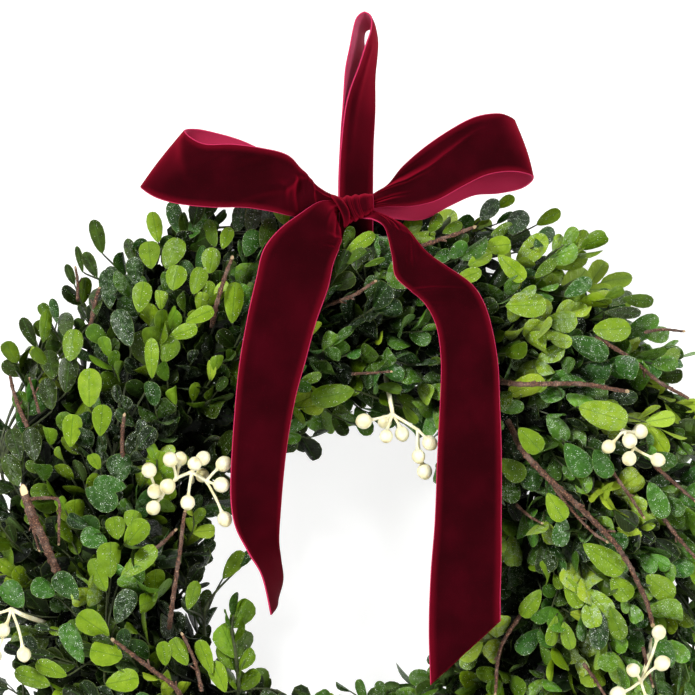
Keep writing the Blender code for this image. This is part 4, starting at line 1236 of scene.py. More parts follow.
def knot_shape():
    """The ribbon wound once round the middle of the bow, its pleats drawn together at the bottom left."""
    lo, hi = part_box("bow_knot")
    middle, deep = (lo[1] + hi[1]) / 2 / MM, (hi[1] - lo[1]) / 2 / MM
    around = math.tau * np.arange(KNOT_SIDES) / KNOT_SIDES
    across = np.linspace(-1, 1, KNOT_ROWS)
    a, b = np.meshgrid(around, across, indexing="ij")
    share = (b[..., None] + 1) / 2
    edges = (np.array(KNOT_TOP), np.array(KNOT_BOTTOM))
    top, bottom = ((1 - share) * left + share * right for left, right in edges)
    front = np.sign(np.cos(a)) * np.abs(np.cos(a)) ** KNOT_ROUND
    above = np.sign(np.sin(a)) * np.abs(np.sin(a)) ** KNOT_ROUND
    pleats = np.zeros_like(a)
    for place, wide, high in KNOT_PLEATS:
        pleats += high * np.exp(-(((b - place + 0.07 * np.cos(a * 2)) / wide) ** 2))
    grown = 1 - 0.20 * np.abs(b) ** 6
    x, z = np.moveaxis((top + bottom) / 2 + (top - bottom) / 2 * (above * grown)[..., None], -1, 0)
    y = middle - front * grown * deep - pleats * np.cos(a)
    points = np.stack([x, y, z + 0.6 * pleats * np.sin(a)], -1) * MM
    rings = points.transpose(1, 0, 2)
    # Only the knot's right edge shows its selvedge.
    edge = np.where(across > 0, (1 - across) * FAR_FROM_EDGE, FAR_FROM_EDGE) + 0.30
    edge = edge[:, None].repeat(len(around), 1)
    cloth = np.stack([edge, 0 * edge, 0 * edge], -1)
    made = Shape()
    made.add_rings(rings[:, ::-1], cloth=cloth[:, ::-1])
    route = spline(np.array(KNOT_SWEEP) * MM, 8)
    share = np.linspace(0, 1, len(route))
    radii = (0.8 + 1.7 * np.sin(math.pi * share) ** 0.8) * MM
    rings = tube_rings(route[None], radii[None], 20)[0]
    edge = np.full(rings.shape[:2], FAR_FROM_EDGE)
    made.add_rings(rings, cloth=np.stack([edge, 0 * edge, 0 * edge], -1))
    return made


# ---------------------------------------------------------------- operators


class WREATH_OT_ribbons(bpy.types.Operator):
    """Make the velvet bow's loops and tails and the hanging loop"""

    bl_idname = "wreath.ribbons"
    bl_label = "Ribbons"

    def execute(self, context):
        sizes, finish = context.scene.wreath_sizes, velvet(context.scene.wreath_colours)
        # Stations, folds, width, the back's side, closed, the cup in millimetres, how the pile is laid
        strips = {
            "bow_loop_left": (LEFT_LOOP, LEFT_LOOP_FOLDS, sizes.ribbon_width, 1, False, 1.2, 0.0),
            "bow_loop_right": (RIGHT_LOOP, RIGHT_LOOP_FOLDS, sizes.ribbon_width, -1, False, 1.2, 0.0),
            "bow_tail_left": (LEFT_TAIL, LEFT_TAIL_FOLDS, sizes.ribbon_width, 1, False, 1.4, 1.0),
            "bow_tail_right": (RIGHT_TAIL, RIGHT_TAIL_FOLDS, sizes.ribbon_width, 1, False, 1.4, 0.0),
            "hanging_loop": (HANGING_LOOP, HANGING_FOLDS, sizes.loop_width, 1, True, 0.5, 0.0),
        }
        thick = sizes.ribbon_thickness
        for name, (stations, folds, width, sign, closed, cup, laid) in strips.items():
            shape, long = ribbon_shape(stations, folds, width, thick, sign, closed, cup, laid)
            made = show(name + "_velvet", shape.mesh(name), [finish], "velvet", name)
            RIBBONS[name] = shape
        RIBBONS["bow_knot"] = knot_shape()
        show("bow_knot_velvet", RIBBONS["bow_knot"].mesh("bow_knot"), [finish], "velvet", "bow_knot")
        return {"FINISHED"}


class WREATH_OT_ring(bpy.types.Operator):
    """Make the twisted vine ring and the wire ties round it"""

    bl_idname = "wreath.ring"
    bl_label = "Vine ring and ties"

    def execute(self, context):
        sizes, colours = context.scene.wreath_sizes, context.scene.wreath_colours
        rng = np.random.default_rng(sizes.seed)
        bark, wire = vine_bark(), florist_wire(colours)
        turn = np.arange(STRAND_POINTS) / STRAND_POINTS
        radii = np.full((1, STRAND_POINTS), sizes.strand_radius)
        for i in range(STRANDS):
            twist = math.tau * (STRAND_TURNS * turn + i / STRANDS)
            radius = RING_RADIUS + STRAND_OFFSET * np.cos(twist)
            route = round_ring(360 * turn, radius, RING_Y - STRAND_OFFSET * np.sin(twist))
            rings = tube_rings(route[None], radii, STRAND_SIDES, True, (0, 1, 0))[0]
            lumps = 1 + 0.05 * np.sin(math.tau * (17 * turn + rng.random()))
            lumps = lumps + 0.04 * np.sin(math.tau * (41 * turn + rng.random()))
            strips = 0.07 * rng.standard_normal(STRAND_SIDES)[None]
            strips = strips + 0.025 * rng.standard_normal((STRAND_POINTS, STRAND_SIDES))
            rough = (lumps[:, None] * (1 + strips))[..., None]
            rings = route[:, None] + (rings - route[:, None]) * rough * STRAND_SLIMMER
            shape = Shape()
            shape.add_rings(rings, closed=True)
            show(f"vine_strand_{i + 1}_bark", shape.mesh("vine"), [bark], "vine", f"vine_strand_{i + 1}")
        for i in range(STATIONS):
            section = np.linspace(0, math.tau * TIE_TURNS, TIE_POINTS)
            drift = (section / (math.tau * TIE_TURNS) - 0.5) * TIE_DEGREES
            reach = TIE_RADIUS - 0.0006 * np.sin(3 * section) ** 2
            radius = RING_RADIUS + reach * np.cos(section)
            route = round_ring(station_degrees(i) + drift, radius, RING_Y - reach * np.sin(section))
            shape = Shape()
            shape.add_tube(route, np.full(TIE_POINTS, sizes.wire_radius), 8)
            show(f"tie_wire_{i + 1}_wound", shape.mesh("tie"), [wire], "wire", f"tie_wire_{i + 1}")
        return {"FINISHED"}


def twig_shape(route_mm, radius_mm, rng, stubs=2, slope=1.2, taper=0.30, cut=0.35, pith=0.93):
    """A dry twig: uneven bark, a swelling at each bud scar, short stubs, and a pale end.

    `slope` is how steep the cut is, `taper` how much thinner the end is than the start, `cut` how pale
    the end is, and `pith` the share of its width that is flat.
    """
    route = spline(np.array(route_mm, float) * MM, 6)
    total = travelled(route)[-1]
    fine = np.stack([point_at(route, d)[0] for d in np.linspace(0, total, max(16, int(total / (1.0 * MM))))])
    fine += np.cumsum(rng.normal(0, 0.07 * MM, fine.shape), 0) * np.linspace(0, 1, len(fine))[:, None]
    share = np.linspace(0, 1, len(fine))
    radii = radius_mm * MM * (1 - taper * share)
    for scar in np.arange(0.10, 0.95, SCAR_STEP / total):
        radii = radii * (1 + 0.35 * np.exp(-(((share - scar) * total / SCAR_LONG) ** 2)))
    rings = tube_rings(fine[None], radii[None], 12)[0]
    rough = 1 + 0.08 * rng.standard_normal(rings.shape[:2])
    rings = fine[:, None] + (rings - fine[:, None]) * rough[..., None]
    slant = (rings[-1] - fine[-1]) @ -FORWARD
    rings[-1] += unit(fine[-1] - fine[-2]) * slant[:, None] * slope
    rings = np.concatenate([rings, fine[-1] + (rings[-1:] - fine[-1]) * pith])
    end = np.zeros((*rings.shape[:2], 3))
    end[-1, :, 0] = cut
    made = Shape()
    made.add_rings(rings, bark=end)
    for k in range(stubs):
        spot, way = point_at(route, total * (0.35 + 0.4 * (k + rng.uniform(0, 0.6)) / max(1, stubs)))
        side = unit(np.cross(way, rng.standard_normal(3)))
        tip = spot + unit(side + 0.8 * way) * rng.uniform(2.5, 5.5) * MM
        bend = spot + side * 1.2 * MM
        made.add_tube(spline(np.stack([spot, bend, tip]), 3), np.linspace(0.55, 0.35, 7) * radius_mm * MM, 7)
    return made


class WREATH_OT_twigs(bpy.types.Operator):
    """Make the bare twigs that stand out of the foliage"""

    bl_idname = "wreath.twigs"
    bl_label = "Twigs"

    def execute(self, context):
        bark = twig_bark(context.scene.wreath_colours)
        rng = np.random.default_rng(context.scene.wreath_sizes.seed + 1)
        for i, (route, radius) in enumerate(TWIGS):
            shape = twig_shape(route, radius, rng, **(THICK_TWIG if radius > 2 else {}))
            show(f"twig_{i + 1}_bark", shape.mesh("twig", 50), [bark], "twigs", f"twig_{i + 1}")
            OBSTACLES.append(shape.tree())
        for i, (route, radius) in enumerate(FINE_TWIGS):
            if len(route[0]) == 2:
                rise = np.linspace(1.0, 9.0, len(route)) * MM
                route = [(x, (surface_y(x * MM, z * MM) - up) / MM, z) for (x, z), up in zip(route, rise)]
            shape = twig_shape(route, radius, rng, stubs=1)
            show(f"fine_twig_{i + 1}_bark", shape.mesh("twig", 50), [bark], "twigs")
            OBSTACLES.append(shape.tree())
        return {"FINISHED"}


def berry_rings(place, axis, radius, rng):
    """Rings of a round berry along an axis, with a small nub at its far end, and how much each is nub."""
    angle = np.linspace(0, math.pi, 15)[1:-1]
    reach, wide = -np.cos(angle) * 1.06, np.sin(angle)
    nub = np.clip((reach - 0.93) / 0.13, 0, 1)
    turn = math.tau * np.arange(18) / 18
    side = unit(np.cross(axis, (0.2, 0.3, 0.9)))
    ring = side * np.cos(turn)[:, None] + np.cross(axis, side) * np.sin(turn)[:, None]
    lobes = 1 + 0.02 * np.cos(3 * turn + rng.uniform(0, 6))
    rings = place + axis * (reach + 0.08 * nub)[:, None, None] * radius
    rings = rings + ring * (wide[:, None] * lobes)[..., None] * radius
    return rings, np.stack(np.broadcast_arrays(nub[:, None] + 0 * turn, 0, 0), -1)


def stalk(shape, start, end, radius, rng, flare=0.0):
    """Adds a bent stalk, thicker where it forks and where it meets a berry, and gives its last direction."""
    chord = end - start
    sag = np.cross(unit(chord), (0, 1, 0)) * np.linalg.norm(chord) * rng.uniform(-0.07, 0.07)
    route = spline(np.stack([start, start + chord * 0.5 + sag, end]), 10)
    far = travelled(route)
    radii = radius * (1 + 0.5 * np.exp(-((far / (1.6 * MM)) ** 2)))
    radii = radii + flare * np.exp(-(((far[-1] - far) / (5.0 * MM)) ** 6))
    shape.add_tube(route, radii, 12)
    return unit(route[-1] - route[-6])


class WREATH_OT_berries(bpy.types.Operator):
    """Make the mistletoe berry sprigs"""

    bl_idname = "wreath.berries"
    bl_label = "Berry sprigs"

    def execute(self, context):
        skin = berry_skin(context.scene.wreath_colours)
        sizes = context.scene.wreath_sizes
        rng = np.random.default_rng(sizes.seed + 2)
        for i, (joint, foot, forks, berries) in enumerate(BERRY_SPRIGS):
            joint, foot = np.array(joint) * MM, np.array(foot) * MM
            shape = Shape()
            stem = spline(np.stack([foot, foot * 0.4 + joint * 0.6 - (0, 6 * MM, 0), joint]), 8)
            shape.add_tube(stem, np.linspace(1.5, 1.2, len(stem)) * MM, 12)
            places = [joint]
            for parent, *place in forks:
                place = np.array(place) * MM
                stalk(shape, places[parent + 1], place, sizes.stalk_radius * 1.15, rng)
                places.append(place)
            for parent, *place in berries:
                place = np.array(place) * MM
                radius = sizes.berry_radius * rng.uniform(0.95, 1.10)
                axis = stalk(shape, places[parent + 1], place, sizes.stalk_radius, rng, 0.26 * radius)
                rings, nub = berry_rings(place, axis, radius, rng)
                shape.add_rings(rings, skin=nub)
            name = f"berry_sprig_{i + 1}"
            show(name + "_painted", shape.mesh("sprig", 60), [skin], "berries", name)
            OBSTACLES.append(shape.tree())
        return {"FINISHED"}


class Template:
    """A blade's grid, shared by its leaves: the (along, across, side) of each point, and its faces.

    `probes` are the points that are tried for a clash.
    """

    def __init__(self, along, across):
        rows, columns = len(along), len(across)
        u, v = np.meshgrid(along, across, indexing="ij")
        top = np.stack([u, v, np.ones_like(u)], -1).reshape(-1, 3)
        keel = np.stack([along, np.zeros(rows), -np.ones(rows)], -1)
        self.points = np.concatenate([top, keel])
        left = np.arange(rows) * columns
        right = left + columns - 1
        under = rows * columns + np.arange(rows)
        self.faces = [grid_faces(rows, columns)[:, ::-1]]
        for a, b in ((left, under), (under, right)):
            self.faces.append(np.stack([a[:-1], b[:-1], b[1:], a[1:]], -1))
        for row, order in ((0, -1), (rows - 1, 1)):
            line = row * columns + np.arange(columns)
            corners = [line[:-1], line[1:], np.full(columns - 1, under[row])]
            self.faces.append(np.stack(corners, -1)[:, ::order])
        probed = np.linspace(1, rows - 1, 4).astype(int)[:, None] * columns
        self.probes = (probed + (0, columns // 2, columns - 1)).ravel()


TEMPLATES = {name: Template(*grid) for name, grid in LEAF_GRIDS.items()}


class Leaves:
    """The leaves of one piece, each a row of numbers, turned to blades all at once."""

    FIELDS = (
        *("root", "along", "up", "size", "shape", "fill", "cut", "notch", "curl", "bend", "twist"),
        *("tone", "frost", "cool", "stray", "shoot", "reach"),
    )

    def __init__(self):
        self.rows = {name: [] for name in self.FIELDS}

    def add(self, **values):
        """Adds one leaf, with a value for every field."""
        for name in self.FIELDS:
            self.rows[name].append(values[name])

    def arrays(self):
        """Every field as an array over the leaves."""
        return {name: np.array(values, float) for name, values in self.rows.items()}


def blades(leaf, template, thickness):
    """Every leaf's blade over the template, as leaf, point, coordinate, and the half width at each point."""
    u, v, side = template.points.T
    cut = leaf["cut"][:, None]
    fill = leaf["fill"][:, None]
    # An obovate outline: a wedge at the stalk and a round end, scaled so that its widest place is 1.
    peak = (fill / (fill + cut / 2)) ** (1 / cut)
    outline = np.maximum(u, 1e-6) ** fill * np.sqrt(np.maximum(1 - u**cut, 0))
    outline /= peak**fill * np.sqrt(1 - peak**cut)
    size = leaf["size"][:, None]
    half = size * leaf["shape"][:, None] / 2 * outline
    half = np.maximum(half, STALK_HALF_WIDTH * (1 - 0.6 * u))
    broad = half / size
    x = size * (u - leaf["notch"][:, None] * u**8 * np.exp(-((v * outline / 0.4) ** 2)))
    y = half * v
    z = -leaf["curl"][:, None] * size * (v * broad * 2) ** 2
    z = z - leaf["bend"][:, None] * size * u**2
    z = z - CREASE_DEPTH * (np.abs(v) < 0.01) * (side > 0) * np.sin(math.pi * np.clip(u, 0, 1)) ** 0.5
    thick = thickness * (0.35 + 0.65 * np.sin(math.pi * u * 0.98) ** 0.5)
    z = z + np.where(side > 0, 0.5 * thick * (1 - np.abs(v) ** 3), -0.8 * thick)
    turn = leaf["twist"][:, None] * u
    y, z = y * np.cos(turn) - z * np.sin(turn), y * np.sin(turn) + z * np.cos(turn)
    along = unit(leaf["along"])
    across = unit(np.cross(leaf["up"], along))
    up = np.cross(along, across)
    points = leaf["root"][:, None] + x[..., None] * along[:, None]
    return points + y[..., None] * across[:, None] + z[..., None] * up[:, None], half


def add_blades(shape, leaf, template, thickness):
    """Adds every leaf of a piece to its shape."""
    points, half = blades(leaf, template, thickness)
    count, each = points.shape[:2]
    u, v, side = template.points.T
    first = (np.arange(count) * each)[:, None, None]
    faces = [(group[None] + first).reshape(-1, group.shape[1]) for group in template.faces]
    size = leaf["size"][:, None]
    margin = np.minimum(half * (1 - np.abs(v)), size * (1 - u) * 0.8)
    blade = np.stack([u * size / MM, v * half / MM, margin / MM], -1)
    look = np.stack([leaf[name][:, None] + 0 * half for name in ("tone", "frost", "cool")], -1)
    # How deep each point lies sets its painted shade; stray leaves count as nearer the surface, so they are
    # darkened less.
    share = section_share(points) + leaf["stray"][:, None] * 0.25
    depth = np.stack([share, (side < 0) + 0 * share, 0 * share], -1)
    shape.add(points, faces, 0, blade=blade, look=look, depth=depth)


class Thicket:
    """What the leaves keep clear of, each other's middles among it."""

    def __init__(self):
        loose = ("bow_loop_left", "bow_loop_right", "bow_tail_left", "bow_tail_right", "bow_knot")
        self.cover = [RIBBONS[name].tree() for name in loose]
        self.near = [*self.cover, RIBBONS["hanging_loop"].tree(), *OBSTACLES]
        self.taken = {}

    def behind(self, x, z):
        """How far back the cover's rear face is over this place, or None if nothing covers it."""
        found = []
        for tree in self.cover:
            hit = tree.ray_cast((x, REAR_Y, z), (0, -1, 0), 2 * REAR_Y)[0]
            if hit:
                found.append(hit.y)
        return max(found) if found else None

    def clashes(self, points, gap, stray):
        """True if any point is near a piece or, unless the leaf is a stray one, in front of the bow."""
        for point in points:
            at = point.tolist()
            if any(tree.find_nearest(at, gap)[0] for tree in self.near):
                return True
            if not stray and any(tree.ray_cast(at, (0, 1, 0), FOLIAGE_DEEP)[0] for tree in self.cover):
                return True
        return False

    def crowded(self, place, gap):
        """True if another leaf's middle is this close; if none is, the place is taken from now on."""
        x, y, z = place[0], place[1] * DEPTH_COUNTS, place[2]
        i, j, k = int(x // gap), int(y // gap), int(z // gap)
        for a in (i - 1, i, i + 1):
            for b in (j - 1, j, j + 1):
                for c in (k - 1, k, k + 1):
                    for other in self.taken.get((a, b, c), ()):
                        if math.dist(other, (x, y, z)) < gap:
                            return True
        self.taken.setdefault((i, j, k), []).append((x, y, z))
        return False


def bow_edge(degrees):
    """The furthest radius of the foliage at an angle from the top, where the bow keeps it low."""
    return np.interp((degrees + 180) % 360 - 180, *BOW_EDGE)


def stem_place(row, degrees, u):
    """A place on a bunch's main stem, and the stem's direction there."""
    seat = math.radians(row["seat"])

    def place(share):
        lean = max(0.0, (share - TIED_SHARE) / (1 - TIED_SHARE)) ** LEAN_POWER
        turn = degrees - TAIL_DEGREES + row["sweep"] * share
        radius = RING_RADIUS + STEM_SEAT * math.cos(seat) + row["out"] * lean
        y = RING_Y - STEM_SEAT * math.sin(seat) - row["forward"] * lean
        return round_ring(turn, min(radius, bow_edge(turn) - BOW_CLEARANCE), y)

    return place(u), unit(place(u + 0.02) - place(u - 0.02))


def section_place(theta, phi, scale):
    """A place on the foliage's surface, by angles round the ring and its section, and both ways out."""
    out = np.array((math.sin(theta), 0.0, math.cos(theta)))
    deep = SECTION_FRONT if math.sin(phi) > 0 else SECTION_BACK
    radius = SECTION_RADIUS + SECTION_WIDE * scale * math.cos(phi)
    off = (math.degrees(theta) - WIDER_AT[0] + 180) % 360 - 180
    radius += WIDER_AT[2] * max(0.0, -math.cos(phi)) * math.exp(-((off / WIDER_AT[1]) ** 2))
    y = SECTION_Y - deep * scale * math.sin(phi)
    normal = unit(out * math.cos(phi) / SECTION_WIDE - np.array((0, 1, 0)) * math.sin(phi) / deep)
    return np.array((CENTRE_X, y, CENTRE_Z)) + out * radius, normal, out


def section_share(points):
    """How far out in the foliage's section points are: 0 at its middle and 1 at its surface."""
    radius = np.hypot(points[..., 0] - CENTRE_X, points[..., 2] - CENTRE_Z)
    y = points[..., 1] - SECTION_Y
    deep = np.where(y < 0, SECTION_FRONT, SECTION_BACK)
    return np.hypot((radius - SECTION_RADIUS) / SECTION_WIDE, y / deep)


def bezier(a, b, c, d, count):
    """Points along a cubic curve with these two ends and two handles."""
    t = np.linspace(0, 1, count)[:, None]
    return a * (1 - t) ** 3 + 3 * b * t * (1 - t) ** 2 + 3 * c * t**2 * (1 - t) + d * t**3


def leafy_shoot(leaves, shoot, route, facing, sizes, rng, look, pairs, scale, spread=(16, 44)):
    """Leaves in opposite pairs along a shoot, each pair turned from the last, with one at its end."""
    tone, frost, cool = look
    total = travelled(route)[-1]
    roll = rng.uniform(0, math.pi)
    for k in range(pairs + 1):
        distance = total - TIP_GAP - k * sizes.leaf_step * scale * rng.uniform(0.85, 1.15)
        if distance < BARE_START:
            break
        spot, ahead = point_at(route, distance)
        face = unit(facing - ahead * (facing @ ahead))
        side = np.cross(ahead, face)
        roll += math.radians(rng.uniform(60, 110))
        grown = PAIR_SIZES[min(k, len(PAIR_SIZES) - 1)]
        for turn in ((0.0,) if k == 0 else (0.0, math.pi)):
            angle = roll + turn
            open_angle = math.radians(rng.uniform(3, 16) if k == 0 else rng.uniform(*spread))
            away = side * math.cos(angle) + face * math.sin(angle) * 0.5
            away = unit(away + face * 0.12)
            along = unit(ahead * math.cos(open_angle) + away * math.sin(open_angle))
            inner = ahead * math.sin(open_angle) - away * math.cos(open_angle)
            up = unit(face * 0.80 + inner * 0.30 + rng.normal(0, 0.34, 3))
            if rng.random() < EDGE_ON_SHARE:
                up = unit(up * 0.35 + np.cross(along, up) * rng.choice((-1, 1)))
            leaves.add(
                root=spot,
                along=along,
                up=up,
                size=sizes.leaf_length * scale * grown * rng.uniform(0.72, 1.16),
                shape=sizes.leaf_shape * rng.uniform(0.80, 1.12),
                fill=rng.uniform(0.42, 0.62),
                cut=rng.uniform(2.1, 3.1),
                notch=rng.choice((0.0, 0.0, 0.02, 0.05)),
                curl=rng.normal(0.26, 0.18),
                bend=rng.normal(0.04, 0.09),
                twist=rng.normal(0, 0.20),
                tone=tone + rng.normal(0, 0.10),
                frost=max(0.05, frost + rng.normal(0, 0.14)),
                cool=np.clip(cool + rng.normal(0, 0.2), 0, 1),
                stray=0,
                shoot=shoot,
                reach=distance,
            )


def shoot(row_name, row, degrees, i, shift, layer, thicket, rng):
    """One shoot of a bunch: its route from the main stem to the foliage's surface, its facing and angle."""
    spread = (0.5 + SPREAD_STEP * (i + shift)) % 1
    band = (0.5 + BAND_STEP * (i + 1.7 * shift)) % 1
    first, last = row["band"]
    turn = degrees + FIRST_TIP + 360 / STATIONS * spread
    theta, phi = math.radians(turn), math.radians(first + band * (last - first))
    tip, normal, out = section_place(theta, phi, layer * rng.normal(1.0, 0.04))
    if row_name == "outer" and layer > OUTERMOST and rng.random() < 0.30:
        tip = tip + out * rng.uniform(3, 12) * MM
    past = (tip[0] - CENTRE_X) * out[0] + (tip[2] - CENTRE_Z) * out[2] - bow_edge(turn)
    tip = tip - out * max(0.0, past)
    rear = thicket.behind(tip[0], tip[2])
    if rear is not None:
        tip[1] = max(tip[1], rear + COVER_GAP)
    way = np.array((math.cos(theta), 0.0, -math.sin(theta)))
    aim = unit(way * 0.75 + normal * 0.16 + out * row["splay"] + FORWARD * 0.06 + rng.normal(0, 0.22, 3))
    share = np.clip((turn - rng.uniform(16, 26) - degrees + TAIL_DEGREES) / row["sweep"], 0.14, 0.94)
    start, ahead = stem_place(row, degrees, share)
    reach = np.linalg.norm(tip - start)
    route = bezier(start, start + ahead * reach * 0.3, tip - aim * reach * 0.35, tip, SHOOT_POINTS)
    turned = FORWARD * (0.80 if math.sin(phi) > -0.2 else 0.0)
    facing = unit(normal * 0.50 + turned + rng.normal(0, 0.20, 3))
    return route, facing, theta


def leaf_tone(rng, right):
    """A shoot's shade of green: young and bright, middling or dark. More are middling on the right."""
    kind = rng.random()
    if kind < 0.34 - 0.12 * right:
        return rng.uniform(0.68, 0.95)
    if kind < 0.58 + 0.24 * right:
        return rng.uniform(0.42, 0.66)
    return rng.uniform(0.14, 0.36)


def surface_y(x, z):
    """The y of the foliage's front over a place."""
    off = (math.hypot(x - CENTRE_X, z - CENTRE_Z) - SECTION_RADIUS) / SECTION_WIDE
    return SECTION_Y - SECTION_FRONT * math.sqrt(max(0.0, 1 - off * off))


def stray_ends(stray):
    """The root and the tip of a stray leaf."""
    (root_x, root_z), (tip_x, tip_z), _, _, _, lift = stray
    root, tip = (root_x * MM, root_z * MM), (tip_x * MM, tip_z * MM)
    root_y = surface_y(*root) - min(lift, 4.0) * MM
    tip_y = surface_y(*tip) - lift * MM
    return np.array((root[0], root_y, root[1])), np.array((tip[0], max(tip_y, root_y - 12 * MM), tip[1]))


def stray_owner(stray):
    """The row and number of the bunch that a stray leaf grows from."""
    root, _ = stray_ends(stray)
    x, z = root[0] - CENTRE_X, root[2] - CENTRE_Z
    radius = math.hypot(x, z)
    number = int((math.degrees(math.atan2(x, z)) - FIRST_STATION - STRAY_DEGREES) % 360 // (360 / STATIONS))
    if radius > OUTER_FROM:
        return "outer", number
    return ("front" if radius > FRONT_FROM else "inner"), number


def stray_leaf(leaves, shoot, stray, row, degrees, rng):
    """Adds one stray leaf, and gives the route of its stalk from the bunch's main stem."""
    root, tip = stray_ends(stray)
    _, _, width, tone, frost, _ = stray
    chord = tip - root
    long = np.linalg.norm(chord)
    leaves.add(
        root=root,
        along=unit(chord),
        up=unit(FORWARD + rng.normal(0, 0.16, 3)),
        size=long,
        shape=width * MM / long,
        fill=rng.uniform(0.48, 0.62),
        cut=rng.uniform(2.3, 2.9),
        notch=rng.choice((0.0, 0.02)),
        curl=rng.normal(0.22, 0.10),
        bend=rng.normal(0.03, 0.04),
        twist=rng.normal(0, 0.10),
        tone=tone * STRAY_SHADE,
        frost=frost,
        cool=0.9 if frost > 0.55 and tone < 0.7 else 0.15,
        stray=1,
        shoot=shoot,
        reach=1.0,
    )
    stems = [stem_place(row, degrees, share) for share in np.linspace(0.2, 1.0, 9)]
    start, ahead = min(stems, key=lambda place: np.linalg.norm(place[0] - root + unit(chord) * 0.03))
    reach = np.linalg.norm(root - start)
    inward = root - unit(chord) * 3 * MM + np.array((0, reach * 0.4, 0))
    return bezier(start, start + ahead * reach * 0.3, inward, root, SHOOT_POINTS)


def bunch(row_name, index, sizes, thicket, rng):
    """The shoots of one bunch in one shape, and its leaves: those that show, and those deep inside."""
    row = ROWS[row_name]
    degrees = station_degrees(index)
    shape = Shape()
    main = np.stack([stem_place(row, degrees, u)[0] for u in np.linspace(0, 1, 24)])
    add_stem(shape, main, 1.9, 0.9, 8)
    showing, deep, routes = Leaves(), Leaves(), []
    for stray in STRAY_LEAVES:
        if stray_owner(stray) == (row_name, index):
            routes.append(stray_leaf(showing, len(routes), stray, row, degrees, rng))
    for i in range(getattr(sizes, row_name + "_shoots")):
        layer = LAYERS[i % len(LAYERS)]
        route, facing, theta = shoot(row_name, row, degrees, i, 0.37 * index, layer, thicket, rng)
        right = 0.5 + 0.5 * math.cos(theta - math.radians(75))
        paler = (0.5 + 0.5 * math.cos(theta - math.radians(105))) ** 2
        # Shoots below the outermost layer are painted darker, as painted shade.
        tone = leaf_tone(rng, right) + 0.18 * paler - 0.06 - (0.12 if layer < OUTERMOST else 0.0)
        frosted = rng.random() < (0.22 + 0.5 * right if tone > 0.5 else 0.5 + 0.3 * right)
        frost = rng.uniform(0.45, 1.0) if frosted else rng.uniform(0.06, 0.22)
        cool = rng.uniform(0.6, 1.0) if frosted and tone < 0.68 + 0.14 * right else rng.uniform(0.0, 0.3)
        look, scale = (tone, frost, cool), rng.uniform(0.84, 1.12) * (0.96 + 0.20 * right)
        leafy_shoot(showing, len(routes), route, facing, sizes, rng, look, rng.integers(5, 8), scale)
        routes.append(route)
    for i in range(getattr(sizes, row_name + "_inner_shoots")):
        layer = DEEP_LAYERS[i % len(DEEP_LAYERS)]
        route, facing, _ = shoot(row_name, row, degrees, i, 0.5 + 0.41 * index, layer, thicket, rng)
        # The deep shoots get dark tones, as painted shade.
        look = (rng.uniform(0.0, 0.22), 0.1, 0.4)
        leafy_shoot(deep, len(routes), route, facing, sizes, rng, look, 6, 1.15, (30, 75))
        routes.append(route)
    return shape, {"fine": showing, "plain": deep}, routes


def add_stem(shape, route, start_mm, end_mm, sides):
    """Adds a tapering stem along a route, which remembers how deep in the foliage it is, for its painted
    shade.
    """
    rings = tube_rings(route[None], np.linspace(start_mm, end_mm, len(route))[None] * MM, sides)[0]
    share = section_share(rings)
    shape.add_rings(rings, finish=1, depth=np.stack([share, 0 * share, 0 * share], -1))


def dress(shape, leaves, routes, thicket, sizes):
    """Adds a bunch's leaves to its shape, all but those that would touch something, and its shoots' stems."""
    reach = {}
    for grid, found in leaves.items():
        leaf = clear_of(found.arrays(), TEMPLATES[grid], thicket, sizes.leaf_thickness)
        if grid == "fine":
            middle = leaf["root"] + unit(leaf["along"]) * leaf["size"][:, None] * 0.6
            free = np.array([not thicket.crowded(at, sizes.leaf_gap) for at in middle.tolist()], bool)
            leaf = {name: values[free | (leaf["stray"] > 0)] for name, values in leaf.items()}
        add_blades(shape, leaf, TEMPLATES[grid], sizes.leaf_thickness)
        for number, far in zip(leaf["shoot"].astype(int), leaf["reach"]):
            reach[number] = max(far, reach.get(number, 0.0))
    for number, far in reach.items():
        end = min(far + 0.5 * MM, travelled(routes[number])[-1])
        cut = np.stack([point_at(routes[number], d)[0] for d in np.linspace(0, end, SHOOT_POINTS)])
        add_stem(shape, cut, 1.0, 0.45, 5)


def clear_of(leaf, template, thicket, thickness):
    """The leaves that touch nothing; one that would is first moved back, or forward if it is a stray leaf."""
    kept = np.ones(len(leaf["size"]), bool)
    for attempt in range(BACK_STEPS + 1):
        points = blades(leaf, template, thickness)[0][:, template.probes]
        for i in np.flatnonzero(kept):
            if not thicket.clashes(points[i], LEAF_CLEARANCE, leaf["stray"][i]):
                continue
            if attempt == BACK_STEPS:
                kept[i] = False
            elif leaf["stray"][i]:
                leaf["root"][i, 1] -= BACK_STEP
            else:
                leaf["along"][i] = unit(leaf["along"][i] + np.array((0, 0.35, 0)))
                leaf["root"][i, 1] += BACK_STEP
    return {name: values[kept] for name, values in leaf.items()}


